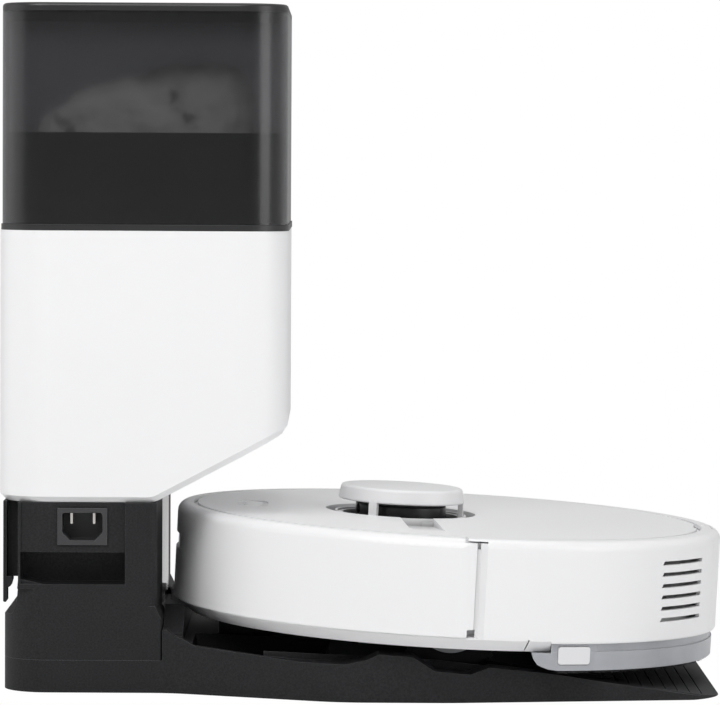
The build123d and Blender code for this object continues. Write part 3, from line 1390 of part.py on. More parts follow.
bin_latch = block(latch_x, (-bin_latch_half_width, bin_latch_half_width),
                  (latch_seat + bin_latch_travel + running_gap, body_top - 0.4))
save_robot("bin_latch", bin_latch)
bin_filter = block(filter_x, (-bin_half_width, -bin_half_width + 8.0), filter_z)
save_robot("bin_filter", bin_filter)

# fan, main board
fan_low = mop_roof + chassis_plate
fan_high = fan_low + 40.0
fan = drum(fan_radius, (fan_low, fan_high), fan_at)
fan_inlet_x = (fan_at[0] + 2.0, fan_at[0] + 22.0)
fan += block(fan_inlet_x, (fan_at[1] + fan_bin_gap + 1.0, -bin_half_width - 0.5), (fan_low + 8.0, fan_low + 28.0))
fan_outlet = block((0.0, 34.0), (-13.0, 13.0), (chassis_rim_top + 1.0, fan_high))
fan += Pos(fan_at[0], fan_at[1], 0) * Rot(0, 0, -35.0) * fan_outlet
save_robot("fan_module", fan)
board_z = (brush_box_top + 8.0, brush_box_top + 9.6)
main_board = block((brush_box_x[0] + 2, brush_x + 2.0), (-70.0, 70.0), board_z)
for bx in (brush_box_x[0] + 8.0, brush_x - 4.0):
    for by in (-62.0, 62.0):
        main_board += drum(3.0, (brush_box_top, board_z[0]), (bx, by))
save_robot("main_board", main_board)

# ---------------------------------------------------------------- mop bracket, latches and cloth
mop_front_radius = 176.0         # the hollow front edge of the crescent, round a point ahead
mop_front_x = -98.0
front_at = (mop_front_x, 0.0)


mop_nose = side_profile(
    [
        (band_tail_end + running_gap, mop_high + 5.0),
        (band_tail_end + running_gap, belly - running_gap),
        (mop_start, belly - running_gap),
        (mop_start + 0.8, belly - 3.5),
        (mop_start + 0.22 * mop_nose_length, mop_rim_low + 3.6),
        (mop_start + 0.40 * mop_nose_length, mop_rim_low + 2.2),
        (mop_start + 0.65 * mop_nose_length, mop_rim_low + 0.8),
        (mop_start + mop_nose_length, mop_rim_low),
        (mop_start + mop_nose_length, -5.0),
        (400.0, -5.0),
        (400.0, mop_high + 5.0),
    ],
    (-400, 400),
)


def mop_plan(radius, z, back=0.0):
    """The bracket's crescent between two heights, with its front edge set back."""
    return (drum(radius, z) & (Pos(back, 0, 0) * mop_nose)) - drum(mop_front_radius + back, (-10, 100), front_at)


bracket_low = mop_plan(mop_radius, (mop_rim_low, mop_step))
bracket_high = mop_plan(mop_radius - mop_step_in, (mop_step, mop_high))
mop_bracket = bracket_low + bracket_high
cloth_seat = mop_plan(mop_radius - mop_rim_width, (mop_rim_low - 2.0, mop_low), mop_rim_width)
cloth_seat += block((mop_start + mop_nose_length, 400), every, (mop_rim_low - 2.0, mop_low)) & drum(
    mop_radius - mop_rim_width, (-10, 60)) - drum(mop_front_radius + mop_rim_width, (-10, 100), front_at)
mop_bracket -= cloth_seat
mop_tray = drum(mop_radius - 10.0, (mop_low + 3.0, mop_high + 1)) & back_of(mop_start + mop_nose_length)
mop_bracket -= mop_tray - drum(mop_front_radius + 4.0, (0, 100), front_at)
latch_angle = math.degrees(math.acos(latch_from_centre / mop_radius))
boss_inset = 0.4
latch_holes = []
for side in (-1, 1):
    turn = Rot(0, 0, side * latch_angle)
    boss = turn * block((mop_radius - 14.0, mop_radius - boss_inset),
                        (-latch_length / 2 - 5.0, latch_length / 2 + 5.0), (mop_low + 0.5, mop_high))
    mop_bracket += boss & drum(mop_radius - boss_inset, (0, 100)) & mop_nose
    hole = block((mop_radius - latch_depth - latch_travel - running_gap - 1.0, mop_radius + 10.0),
                 (-latch_length / 2 - running_gap, latch_length / 2 + running_gap),
                 (latch_low - running_gap, latch_low + latch_height + running_gap))
    hole = turn * fillet(hole.edges().filter_by(Axis.X), latch_corner + running_gap)
    latch_holes.append(hole)
for hole in latch_holes:
    mop_bracket -= hole
save_robot("mop_bracket", mop_bracket)
for name, side in (("left", -1), ("right", 1)):
    latch = block((mop_radius - latch_depth, mop_radius + 0.6), (-latch_length / 2, latch_length / 2),
                  (latch_low, latch_low + latch_height))
    latch = fillet(latch.edges().filter_by(Axis.X), latch_corner)
    latch = fillet([e for e in latch.edges() if e.bounding_box().min.X > mop_radius + 0.5], 0.5)
    save_robot(f"mop_latch_{name}", Rot(0, 0, side * latch_angle) * latch)
cloth = drum(mop_radius - mop_rim_width - running_gap, (mop_cloth_low, mop_low))
cloth = cloth & back_of(mop_start + mop_nose_length + running_gap)
cloth -= drum(mop_front_radius + mop_rim_width + running_gap, (-10, 100), front_at)
save_robot("mop_cloth", cloth)
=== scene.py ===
import json
import math
import random

import bmesh
import bpy
from mathutils import Matrix, Vector, noise

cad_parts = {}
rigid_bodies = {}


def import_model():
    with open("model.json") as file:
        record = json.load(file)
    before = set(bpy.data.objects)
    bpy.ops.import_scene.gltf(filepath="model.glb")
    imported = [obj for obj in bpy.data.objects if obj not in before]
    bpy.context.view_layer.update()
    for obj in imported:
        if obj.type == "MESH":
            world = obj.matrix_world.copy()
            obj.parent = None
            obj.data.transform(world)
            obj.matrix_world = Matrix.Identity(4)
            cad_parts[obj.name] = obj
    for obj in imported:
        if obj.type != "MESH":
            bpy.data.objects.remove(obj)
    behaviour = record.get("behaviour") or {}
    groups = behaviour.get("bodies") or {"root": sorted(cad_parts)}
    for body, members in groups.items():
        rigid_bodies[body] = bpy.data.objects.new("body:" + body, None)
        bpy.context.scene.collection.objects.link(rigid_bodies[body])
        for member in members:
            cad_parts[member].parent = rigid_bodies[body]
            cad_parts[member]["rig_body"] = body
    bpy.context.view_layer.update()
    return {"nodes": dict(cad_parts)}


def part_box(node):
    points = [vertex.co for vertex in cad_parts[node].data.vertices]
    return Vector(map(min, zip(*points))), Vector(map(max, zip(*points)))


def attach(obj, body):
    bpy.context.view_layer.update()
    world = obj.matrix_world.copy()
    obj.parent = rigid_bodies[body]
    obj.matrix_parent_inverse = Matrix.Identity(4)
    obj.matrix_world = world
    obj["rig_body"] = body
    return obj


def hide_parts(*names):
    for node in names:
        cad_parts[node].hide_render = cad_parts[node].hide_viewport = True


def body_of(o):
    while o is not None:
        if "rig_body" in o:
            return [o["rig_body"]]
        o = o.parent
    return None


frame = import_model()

# ------------------------------------------------------------------ camera
# A long lens standing well back and a little above the robot, square to the side with the power
# socket, turned and rolled by a hair so that the object stands just off true.
lens_mm = 210.3
camera_at = Vector((-0.0142, -2.718, 0.338))
look_down = math.radians(2.72)
look_right = math.radians(0.22)
roll = math.radians(0.32)
camera_data = bpy.data.cameras.new("camera")
camera_data.lens = lens_mm
camera_data.sensor_width = 36.0
camera_data.clip_end = 50.0
camera = bpy.data.objects.new("camera", camera_data)
bpy.context.scene.collection.objects.link(camera)
aim = Matrix.Rotation(-look_right, 4, "Z") @ Matrix.Rotation(math.radians(90) - look_down, 4, "X")
camera.matrix_world = Matrix.Translation(camera_at) @ aim @ Matrix.Rotation(roll, 4, "Z")
bpy.context.scene.camera = camera
bpy.context.scene.view_settings.view_transform = "Standard"

# ------------------------------------------------------------------ studio
# White room: a bright surround for the camera, and for the surfaces a softer one that is dim
# behind the camera, so that dark plastic stays dark while the side boxes wrap round its corners.
clean_white = (1.0, 1.0, 1.0, 1.0)
room_light = 0.44
room_dimmed = 0.34
floor_radius = 4.0


def linear(hexa):
    """A colour picked as sRGB hex, as linear light."""
    parts = [int(hexa[i:i + 2], 16) / 255 for i in (1, 3, 5)]
    return tuple(c / 12.92 if c <= 0.04045 else ((c + 0.055) / 1.055) ** 2.4 for c in parts) + (1.0,)


def link(tree, start, end):
    """An output wired to an input."""
    tree.links.new(start, end)


def feed(tree, slot, value):
    """A socket takes a link or a plain value."""
    if isinstance(value, bpy.types.NodeSocket):
        link(tree, value, slot)
    else:
        slot.default_value = value


def node_of(tree, kind, **settings):
    """A new node, its properties set and its inputs linked or set."""
    made = tree.nodes.new(kind)
    for key, value in settings.items():
        if hasattr(made, key):
            setattr(made, key, value)
        else:
            feed(tree, made.inputs[key.replace("_", " ")], value)
    return made


def maths(tree, operation, a, b, clamp=False):
    """A maths node over links or numbers."""
    made = node_of(tree, "ShaderNodeMath", operation=operation, use_clamp=clamp)
    feed(tree, made.inputs[0], a)
    feed(tree, made.inputs[1], b)
    return made.outputs[0]


def either(tree, factor, first, second):
    """One shader, or the other where the factor is 1."""
    made = node_of(tree, "ShaderNodeMixShader", Fac=factor)
    link(tree, first.outputs[0], made.inputs[1])
    link(tree, second.outputs[0], made.inputs[2])
    return made.outputs[0]


world = bpy.data.worlds.new("studio")
bpy.context.scene.world = world
world.use_nodes = True
sky = world.node_tree
sky.nodes.clear()
toward = node_of(sky, "ShaderNodeTexCoord").outputs["Generated"]
toward = node_of(sky, "ShaderNodeSeparateXYZ", Vector=toward)
behind = maths(sky, "MAXIMUM", maths(sky, "MULTIPLY", toward.outputs["Y"], -1.0), 0.0)
dim = maths(sky, "MULTIPLY", maths(sky, "SMOOTH_MIN", behind, 1.0), room_dimmed)
strength = maths(sky, "SUBTRACT", room_light, dim)
room = node_of(sky, "ShaderNodeBackground", Color=clean_white, Strength=strength)
blank = node_of(sky, "ShaderNodeBackground", Color=clean_white, Strength=1.0)
path = node_of(sky, "ShaderNodeLightPath").outputs
clear_view = maths(sky, "MAXIMUM", path["Is Camera Ray"], path["Is Transmission Ray"])
node_of(sky, "ShaderNodeOutputWorld", Surface=either(sky, clear_view, room, blank))


def soft_box(name, at, look_at, width, height, watts):
    """A large white area light aimed at a point."""
    data = bpy.data.lights.new(name, "AREA")
    data.shape = "RECTANGLE"
    data.size = width
    data.size_y = height
    data.energy = watts
    lamp = bpy.data.objects.new(name, data)
    bpy.context.scene.collection.objects.link(lamp)
    away = (Vector(at) - Vector(look_at)).normalized()
    lamp.matrix_world = Matrix.Translation(Vector(at)) @ away.to_track_quat("Z", "Y").to_matrix().to_4x4()


soft_box("box_right", (2.3, -1.25, 0.9), (0.0, 0.0, 0.15), 1.3, 1.8, 17.0)
soft_box("box_left", (-2.4, -0.1, 0.8), (-0.05, 0.0, 0.15), 2.2, 1.5, 6.0)
soft_box("box_front", (-0.75, -1.9, 2.0), (0.0, 0.0, 0.15), 2.0, 1.3, 42.0)
soft_box("box_top", (0.3, 0.3, 2.3), (0.0, 0.0, 0.1), 1.4, 1.2, 8.0)

floor_mesh = bpy.data.meshes.new("floor")
form = bmesh.new()
bmesh.ops.create_circle(form, cap_ends=True, segments=96, radius=floor_radius)
form.to_mesh(floor_mesh)
form.free()
floor = bpy.data.objects.new("floor", floor_mesh)
bpy.context.scene.collection.objects.link(floor)
paper = bpy.data.materials.new("floor_paper")
paper.use_nodes = True
tree = paper.node_tree
tree.nodes.clear()
matte = node_of(tree, "ShaderNodeBsdfDiffuse", Color=linear("#F2F2F2"))
glow = node_of(tree, "ShaderNodeEmission", Color=clean_white)
seen = node_of(tree, "ShaderNodeLightPath").outputs["Is Camera Ray"]
node_of(tree, "ShaderNodeOutputMaterial", Surface=either(tree, seen, matte, glow))
floor_mesh.materials.append(paper)

# ------------------------------------------------------------------ tower housing
# Injection-moulded white plastic with a very fine spark-eroded grain. The edges are broken by a
# third of a millimetre in the shading, and a thin paler painted highlight is laid along them.
grain_depth = 0.00004
edge_contrast = 5.0
gloss_spread = 0.05


def plain(name):
    """A new material, its tree, its shader and the piece's own coordinates."""
    made = bpy.data.materials.new(name)
    made.use_nodes = True
    tree = made.node_tree
    place = node_of(tree, "ShaderNodeTexCoord").outputs["Object"]
    return made, tree, tree.nodes["Principled BSDF"], place


def shades(hexa, darker, lighter):
    """Two shades of a colour, from the shares of its light that they keep."""
    base = linear(hexa)[:3]
    return [tuple(min(1.0, c * share) for c in base) + (1.0,) for share in (darker, lighter)]


def mixed(tree, factor, a, b, blend="MIX"):
    """Two colours mixed."""
    return node_of(tree, "ShaderNodeMix", data_type="RGBA", blend_type=blend, Factor=factor, A=a,
                   B=b).outputs["Result"]


def remap(tree, value, low, high, start=0.0, end=1.0):
    """A value between start and end brought between low and high."""
    return node_of(tree, "ShaderNodeMapRange", Value=value, From_Min=start, From_Max=end, To_Min=low,
                   To_Max=high).outputs["Result"]


def vector_maths(tree, operation, a, b):
    """A vector maths node over links or values."""
    made = node_of(tree, "ShaderNodeVectorMath", operation=operation)
    feed(tree, made.inputs[0], a)
    feed(tree, made.inputs["Scale"] if operation == "SCALE" else made.inputs[1], b)
    return made.outputs["Value" if operation == "DOT_PRODUCT" else "Vector"]


def relief(tree, shader, height, strength, depth, under=None):
    """Fine relief worked into the surface, over the broken edges where they are given."""
    bump = node_of(tree, "ShaderNodeBump", Strength=strength, Distance=depth, Height=height)
    if under:
        link(tree, under, bump.inputs["Normal"])
    link(tree, bump.outputs["Normal"], shader.inputs["Normal"])


def moulded(name, hexa, rough=0.45, grain=0.35, grain_size=1500.0, mottle=0.03, edge=None,
            edge_share=0.5, bevel=0.00035, specular=0.5, coat=0.0, cloud=22.0, fleck=0.0):
    """Moulded plastic: base colour with slow mottling, spark grain, and a painted highlight in the edge
    colour along its rounded edges.
    """
    made, tree, shader, place = plain(name)
    shader.inputs["Specular IOR Level"].default_value = specular
    shader.inputs["Coat Weight"].default_value = coat
    slow = node_of(tree, "ShaderNodeTexNoise", Vector=place, Scale=cloud, Detail=4.0, Roughness=0.6)
    slow = slow.outputs["Fac"]
    fine = node_of(tree, "ShaderNodeTexNoise", Vector=place, Scale=grain_size, Detail=2.0, Roughness=0.55)
    fine = fine.outputs["Fac"]
    colour = mixed(tree, slow, *shades(hexa, 1 - mottle, 1 + mottle))
    if fleck:
        pits = remap(tree, fine, 1.0 - fleck, 1.0 + fleck, 0.35, 0.65)
        colour = mixed(tree, 1.0, colour, pits, "MULTIPLY")
    round_edge = node_of(tree, "ShaderNodeBevel", samples=4, Radius=bevel).outputs["Normal"]
    # The edge colour is a painted highlight, mixed in where the rounded shading normal turns away from
    # the flat one.
    if edge:
        flat = node_of(tree, "ShaderNodeNewGeometry").outputs["Normal"]
        turned = maths(tree, "SUBTRACT", 1.0, vector_maths(tree, "DOT_PRODUCT", round_edge, flat))
        painted_edge_highlight = maths(tree, "MULTIPLY", maths(tree, "MULTIPLY", turned, edge_contrast, True), edge_share)
        colour = mixed(tree, painted_edge_highlight, colour, linear(edge))
    link(tree, colour, shader.inputs["Base Color"])
    sheen = remap(tree, slow, rough - gloss_spread, rough + gloss_spread)
    link(tree, sheen, shader.inputs["Roughness"])
    relief(tree, shader, fine, grain, grain_depth, round_edge)
    return made


def dress(material, *names):
    """CAD nodes take a material."""
    for name in names:
        piece = frame["nodes"][name]
        if not piece.material_slots:
            piece.data.materials.append(material)
        for slot in piece.material_slots:
            slot.material = material


white_shell = moulded("white_shell", "#F4F4F5", rough=0.42, grain=0.18, mottle=0.008, edge="#FFFFFF")
dress(white_shell, "tower_housing")

# ------------------------------------------------------------------ smoked bag lid
# The lift-off lid is one smoked, slightly frosted moulding: light passes it twice, so the bag only
# glows through. Its cap and the rim below are solid charcoal, with a paler painted highlight on their
# edges.
smoke, tree, shader, place = plain("smoked_clear")
shader.inputs["Base Color"].default_value = linear("#757578")
shader.inputs["Transmission Weight"].default_value = 1.0
shader.inputs["IOR"].default_value = 1.49
haze = node_of(tree, "ShaderNodeTexNoise", Vector=place, Scale=9.0, Detail=3.0).outputs["Fac"]
link(tree, remap(tree, haze, 0.20, 0.29), shader.inputs["Roughness"])
pores = node_of(tree, "ShaderNodeTexNoise", Vector=place, Scale=1700.0, Detail=2.0).outputs["Fac"]
relief(tree, shader, pores, 0.12, 0.00003)
let_in = node_of(tree, "ShaderNodeBsdfTransparent", Color=linear("#F4F4F4"))
shadow = node_of(tree, "ShaderNodeLightPath").outputs["Is Shadow Ray"]
link(tree, either(tree, shadow, shader, let_in), tree.nodes["Material Output"].inputs["Surface"])
dress(smoke, "lid")
charcoal_gloss = moulded("charcoal_gloss", "#2B2B2C", rough=0.34, grain=0.2, mottle=0.05, edge="#6C6C6E",
                         edge_share=0.55)
dress(charcoal_gloss, "lid_cap", "tower_bezel")
tub_black = moulded("tub_black", "#0E0E0F", rough=0.55, grain=0.4, mottle=0.06, edge="#2E2E30")
dress(tub_black, "bag_tub")

# ------------------------------------------------------------------ column, base and rear cover
# Charcoal plastic with a leather-fine moulded texture that greys where light rakes it, and a pale
# painted highlight along the arrises of every seam and recess.
charcoal = moulded("charcoal_grain", "#1E1E20", rough=0.56, grain=1.0, grain_size=900.0, mottle=0.22,
                   edge="#737375", edge_share=0.5, bevel=0.0004, specular=0.30, fleck=0.35)
dress(charcoal, "column_housing", "dock_base", "rear_cover")
under_black = moulded("under_black", "#1B1B1C", rough=0.62, grain=0.7, grain_size=800.0, mottle=0.08,
                      edge="#3A3A3B")
dress(under_black, "base_plate")

# ------------------------------------------------------------------ infrared window
# A dark plate that only infrared passes: polished outside, with a faint red-brown depth.
# The bumper's sensor strip is the same plate.
window_gloss = moulded("window_gloss", "#0B0809", rough=0.12, grain=0.02, mottle=0.10, edge="#4A4A4C",
                       coat=0.4)
dress(window_gloss, "ir_window", "bumper_window")

# ------------------------------------------------------------------ power socket
# The inlet's frame is a grey moulding with a pale painted highlight on its edges and corners, its pins
# drawn nickel-plated brass with faint lengthwise scratches.
socket_grey = moulded("socket_grey", "#38383A", rough=0.5, grain=0.4, mottle=0.05, edge="#8C8C8E",
                      edge_share=0.8, bevel=0.0003)
dress(socket_grey, "power_socket")


def metal(name, hexa, rough, stretch=(1.0, 1.0, 1.0), scale=600.0):
    """Plated or brushed metal, its scratches drawn out along one axis."""
    made, tree, shader, place = plain(name)
    shader.inputs["Metallic"].default_value = 1.0
    drawn = node_of(tree, "ShaderNodeMapping", Vector=place, Scale=stretch).outputs["Vector"]
    lines = node_of(tree, "ShaderNodeTexNoise", Vector=drawn, Scale=scale, Detail=3.0).outputs["Fac"]
    link(tree, mixed(tree, lines, *shades(hexa, 0.86, 1.1)), shader.inputs["Base Color"])
    link(tree, remap(tree, lines, rough - 0.06, rough + 0.1), shader.inputs["Roughness"])
    relief(tree, shader, lines, 0.3, 0.00002)
    return made


nickel = metal("nickel_plate", "#D8D6D0", 0.22, stretch=(1.0, 0.08, 1.0))
dress(nickel, "socket_pins", "dock_contacts", "charging_strips")

# ------------------------------------------------------------------ feet, seal and duct
# Soft black rubber with a dusted matte look; the duct is plain grey polypropylene, a little
# translucent-looking from its waxy finish.
rubber = moulded("soft_rubber", "#191919", rough=0.78, grain=0.9, grain_size=700.0, mottle=0.12,
                 edge="#303030", specular=0.3)
dress(rubber, "dock_feet", "mouth_seal")
duct_grey = moulded("duct_grey", "#7E8084", rough=0.5, grain=0.3, mottle=0.04, edge="#A4A6A8")
dress(duct_grey, "dust_duct", "wheel_module_left", "wheel_module_right", "brush_housing")

# ------------------------------------------------------------------ dust bag
# A slack bag of white spun fleece on a card collar, fuller towards the front. It starts as a
# rounded block inside the CAD bag, is blown up a little as cloth, and then crumpled.
bag_slack = Vector((0.007, 0.007, 0.006))
bag_squareness = 4.5
blown_at_most = 0.006
crease_size, crease_depth = 38.0, 0.0032
fold_depth = 0.0022
bag_gap = 0.0006


def new_piece(name, form, body, *materials, smooth=True):
    """A finished piece from its form, riding on a body."""
    mesh = bpy.data.meshes.new(name)
    bmesh.ops.recalc_face_normals(form, faces=form.faces)
    form.to_mesh(mesh)
    form.free()
    for material in materials:
        mesh.materials.append(material)
    if smooth:
        mesh.shade_smooth()
    piece = bpy.data.objects.new(name, mesh)
    bpy.context.scene.collection.objects.link(piece)
    if body:
        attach(piece, body)
    return piece


def applied(piece):
    """The piece with its modifiers worked into its mesh."""
    bpy.context.view_layer.update()
    graph = bpy.context.evaluated_depsgraph_get()
    mesh = bpy.data.meshes.new_from_object(piece.evaluated_get(graph))
    piece.modifiers.clear()
    piece.data = mesh


def woven(name, hexa, second, scale, rough=0.9, depth=0.6, fuzz=0.3, cross=True):
    """Cloth: two crossed bands of thread or loose fibre, with a soft sheen."""
    made, tree, shader, place = plain(name)
    shader.inputs["Roughness"].default_value = rough
    shader.inputs["Sheen Weight"].default_value = fuzz
    shader.inputs["Sheen Roughness"].default_value = 0.5
    shader.inputs["Specular IOR Level"].default_value = 0.2
    fibres = node_of(tree, "ShaderNodeTexNoise", Vector=place, Scale=scale, Detail=6.0, Roughness=0.7,
                     Distortion=1.5)
    height = fibres.outputs["Fac"]
    if cross:
        rows = node_of(tree, "ShaderNodeTexWave", Vector=place, Scale=scale * 0.55, Distortion=1.2,
                       Detail=2.0)
        height = maths(tree, "ADD", maths(tree, "MULTIPLY", height, 0.6),
                       maths(tree, "MULTIPLY", rows.outputs["Fac"], 0.4))
    link(tree, mixed(tree, height, linear(second), linear(hexa)), shader.inputs["Base Color"])
    relief(tree, shader, height, depth, 0.0004)
    return made


fleece = woven("bag_fleece", "#F0EFEA", "#C9C8C2", 700.0, depth=0.5)
bag_low, bag_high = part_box("dust_bag")
bag_middle = (bag_low + bag_high) / 2
bag_half = (bag_high - bag_low) / 2 - bag_slack
form = bmesh.new()
bmesh.ops.create_cube(form, size=2.0)
bmesh.ops.subdivide_edges(form, edges=form.edges, cuts=15, use_grid_fill=True)
for vert in form.verts:
    p = vert.co
    p = p / sum(abs(c) ** bag_squareness for c in p) ** (1 / bag_squareness)
    # the back half sags lower than the front, which is propped by what it has caught
    sag = 0.5 - 0.5 * p.x
    top = 1.0 - 0.36 * sag ** 1.6 - 0.10 * math.cos(p.y * 2.4) * sag
    lift = (p.z + 1) * top - 1
    vert.co = bag_middle + Vector((p.x * bag_half.x, p.y * bag_half.y, lift * bag_half.z))
bag = new_piece("dust_bag_fleece", form, None, fleece)
before = [v.co.copy() for v in bag.data.vertices]
cloth = bag.modifiers.new("blow", "CLOTH")
cloth.settings.quality = 5
cloth.settings.mass = 0.2
cloth.settings.tension_stiffness = 25
cloth.settings.bending_stiffness = 1.5
cloth.settings.use_pressure = True
cloth.settings.uniform_pressure_force = 3.0
cloth.settings.effector_weights.gravity = 0.0
cloth.collision_settings.use_collision = False
for step in range(1, 15):
    bpy.context.scene.frame_set(step)
applied(bag)
bpy.context.scene.frame_set(1)
for vert, start in zip(bag.data.vertices, before):
    move = vert.co - start
    if move.length > blown_at_most:
        vert.co = start + move.normalized() * blown_at_most
bag.modifiers.new("smooth", "SUBSURF").levels = 2
applied(bag)
bag.data.shade_smooth()
for vert in bag.data.vertices:
    p = vert.co
    crease = noise.fractal(p * crease_size, 0.6, 2.2, 4) * crease_depth
    fold = (1 - abs(noise.noise(Vector((p.x * 30, p.y * 12, p.z * 16))))) ** 6 * fold_depth
    vert.co = p + vert.normal * (crease - fold)
    vert.co = Vector(min(max(c, low + bag_gap), high - bag_gap)
                     for c, low, high in zip(vert.co, bag_low, bag_high))
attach(bag, "bag")
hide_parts("dust_bag")
card = moulded("collar_card", "#CFCBBE", rough=0.8, grain=0.9, grain_size=500.0, mottle=0.06,
               specular=0.2)
dress(card, "bag_collar")

# ------------------------------------------------------------------ robot shells
# The robot wears the same white as the tower, with the top disc a shade calmer than the side.
# Painted shade darkens the scoop and the turret's well, more the deeper they lie under the disc's top.
robot_up = (0.0471, 0.0, 0.99889)
shade_depth_from, shade_depth_to = 0.1068, 0.0985
darkest_shade_share = 0.16
robot_white = moulded("robot_white", "#F3F3F4", rough=0.36, grain=0.10, mottle=0.008, edge="#FFFFFF")
dress(robot_white, "bumper", "upper_shell", "chassis", "dust_bin", "bin_latch")
disc_white = moulded("disc_white", "#F3F3F4", rough=0.40, grain=0.14, mottle=0.008, edge="#FFFFFF")
tree = disc_white.node_tree
colour_slot = tree.nodes["Principled BSDF"].inputs["Base Color"]
place = node_of(tree, "ShaderNodeTexCoord").outputs["Object"]
height = vector_maths(tree, "DOT_PRODUCT", place, robot_up)
# Painted shade: the disc's colour is multiplied darker the deeper a surface lies below the disc's top.
painted_depth_shade = remap(tree, height, darkest_shade_share, 1.0, shade_depth_to, shade_depth_from)
depth_shaded_colour = mixed(tree, 1.0, colour_slot.links[0].from_socket, painted_depth_shade, "MULTIPLY")
link(tree, depth_shaded_colour, colour_slot)
dress(disc_white, "top_cover", "turret_base")
cap_white = moulded("cap_white", "#E9E9EA", rough=0.42, grain=0.25, grain_size=1000.0, mottle=0.01,
                    edge="#FFFFFF")
dress(cap_white, "turret_cap")
latch_white = moulded("latch_white", "#E4E4E6", rough=0.45, grain=0.2, mottle=0.02, edge="#F6F6F6")
dress(latch_white, "mop_latch_left", "mop_latch_right")
button_white = moulded("button_white", "#FAFAFA", rough=0.32, grain=0.05, mottle=0.01, edge="#FFFFFF")
dress(button_white, "button_dock", "button_clean", "button_spot")
lidar_black = moulded("lidar_black", "#222224", rough=0.30, grain=0.08, mottle=0.05, edge="#6A6A6C")
dress(lidar_black, "lidar_drum")

# ------------------------------------------------------------------ robot underside
# Pale grey covers, black modules, and small black sensor windows. The wheels wear soft black tyres
# with lugs; the screws are plain steel.
plate_grey = moulded("plate_grey", "#BFC0C2", rough=0.5, grain=0.5, grain_size=900.0, mottle=0.03,
                     edge="#DADADC")
dress(plate_grey, "battery_door", "brush_cover")
fork_black = moulded("fork_black", "#202021", rough=0.5, grain=0.5, mottle=0.06, edge="#454546")
dress(fork_black, "caster_fork", "caster_wheel", "fan_module")
dress(window_gloss, "cliff_sensors")
hub_grey = moulded("hub_grey", "#9A9B9E", rough=0.45, grain=0.3, mottle=0.04, edge="#C0C0C2")
dress(hub_grey, "hub_left", "hub_right", "suction_motor")
tread = moulded("tyre_tread", "#151515", rough=0.82, grain=1.0, grain_size=600.0, mottle=0.15,
                edge="#2B2B2B", specular=0.3)
dress(tread, "tyre_left", "tyre_right")
steel = metal("screw_steel", "#8E8E90", 0.35, scale=900.0)
dress(steel, "chassis_screws")
battery_blue = moulded("battery_wrap", "#23365C", rough=0.35, grain=0.2, mottle=0.05, edge="#3C5080")
dress(battery_blue, "battery")

# ------------------------------------------------------------------ mop bracket
# Frosted grey translucent plastic: light goes a little way in and softens every step in it.
# Its edges carry a pale painted highlight, standing in for the light that comes out there again.
frost = moulded("frosted_grey", "#A9ABB0", rough=0.30, grain=0.25, mottle=0.16, edge="#D9DADD",
                edge_share=0.7, cloud=45.0)
shader = frost.node_tree.nodes["Principled BSDF"]
shader.inputs["Subsurface Weight"].default_value = 0.35
shader.inputs["Subsurface Radius"].default_value = (0.004, 0.004, 0.0045)
shader.inputs["Subsurface Scale"].default_value = 1.0
dress(frost, "mop_bracket")

# ------------------------------------------------------------------ repeated details
# Fibres, tufts, pleats and small parts are one shape set out many times. Each point carries the way
# its copy looks and how long it is; the copies vary a little in turn and length.
robot_at = Matrix.Translation((0.051854, 0.0, 0.0248)) @ Matrix.Rotation(math.radians(2.7), 4, "Y")
quarter_turn = math.radians(90)


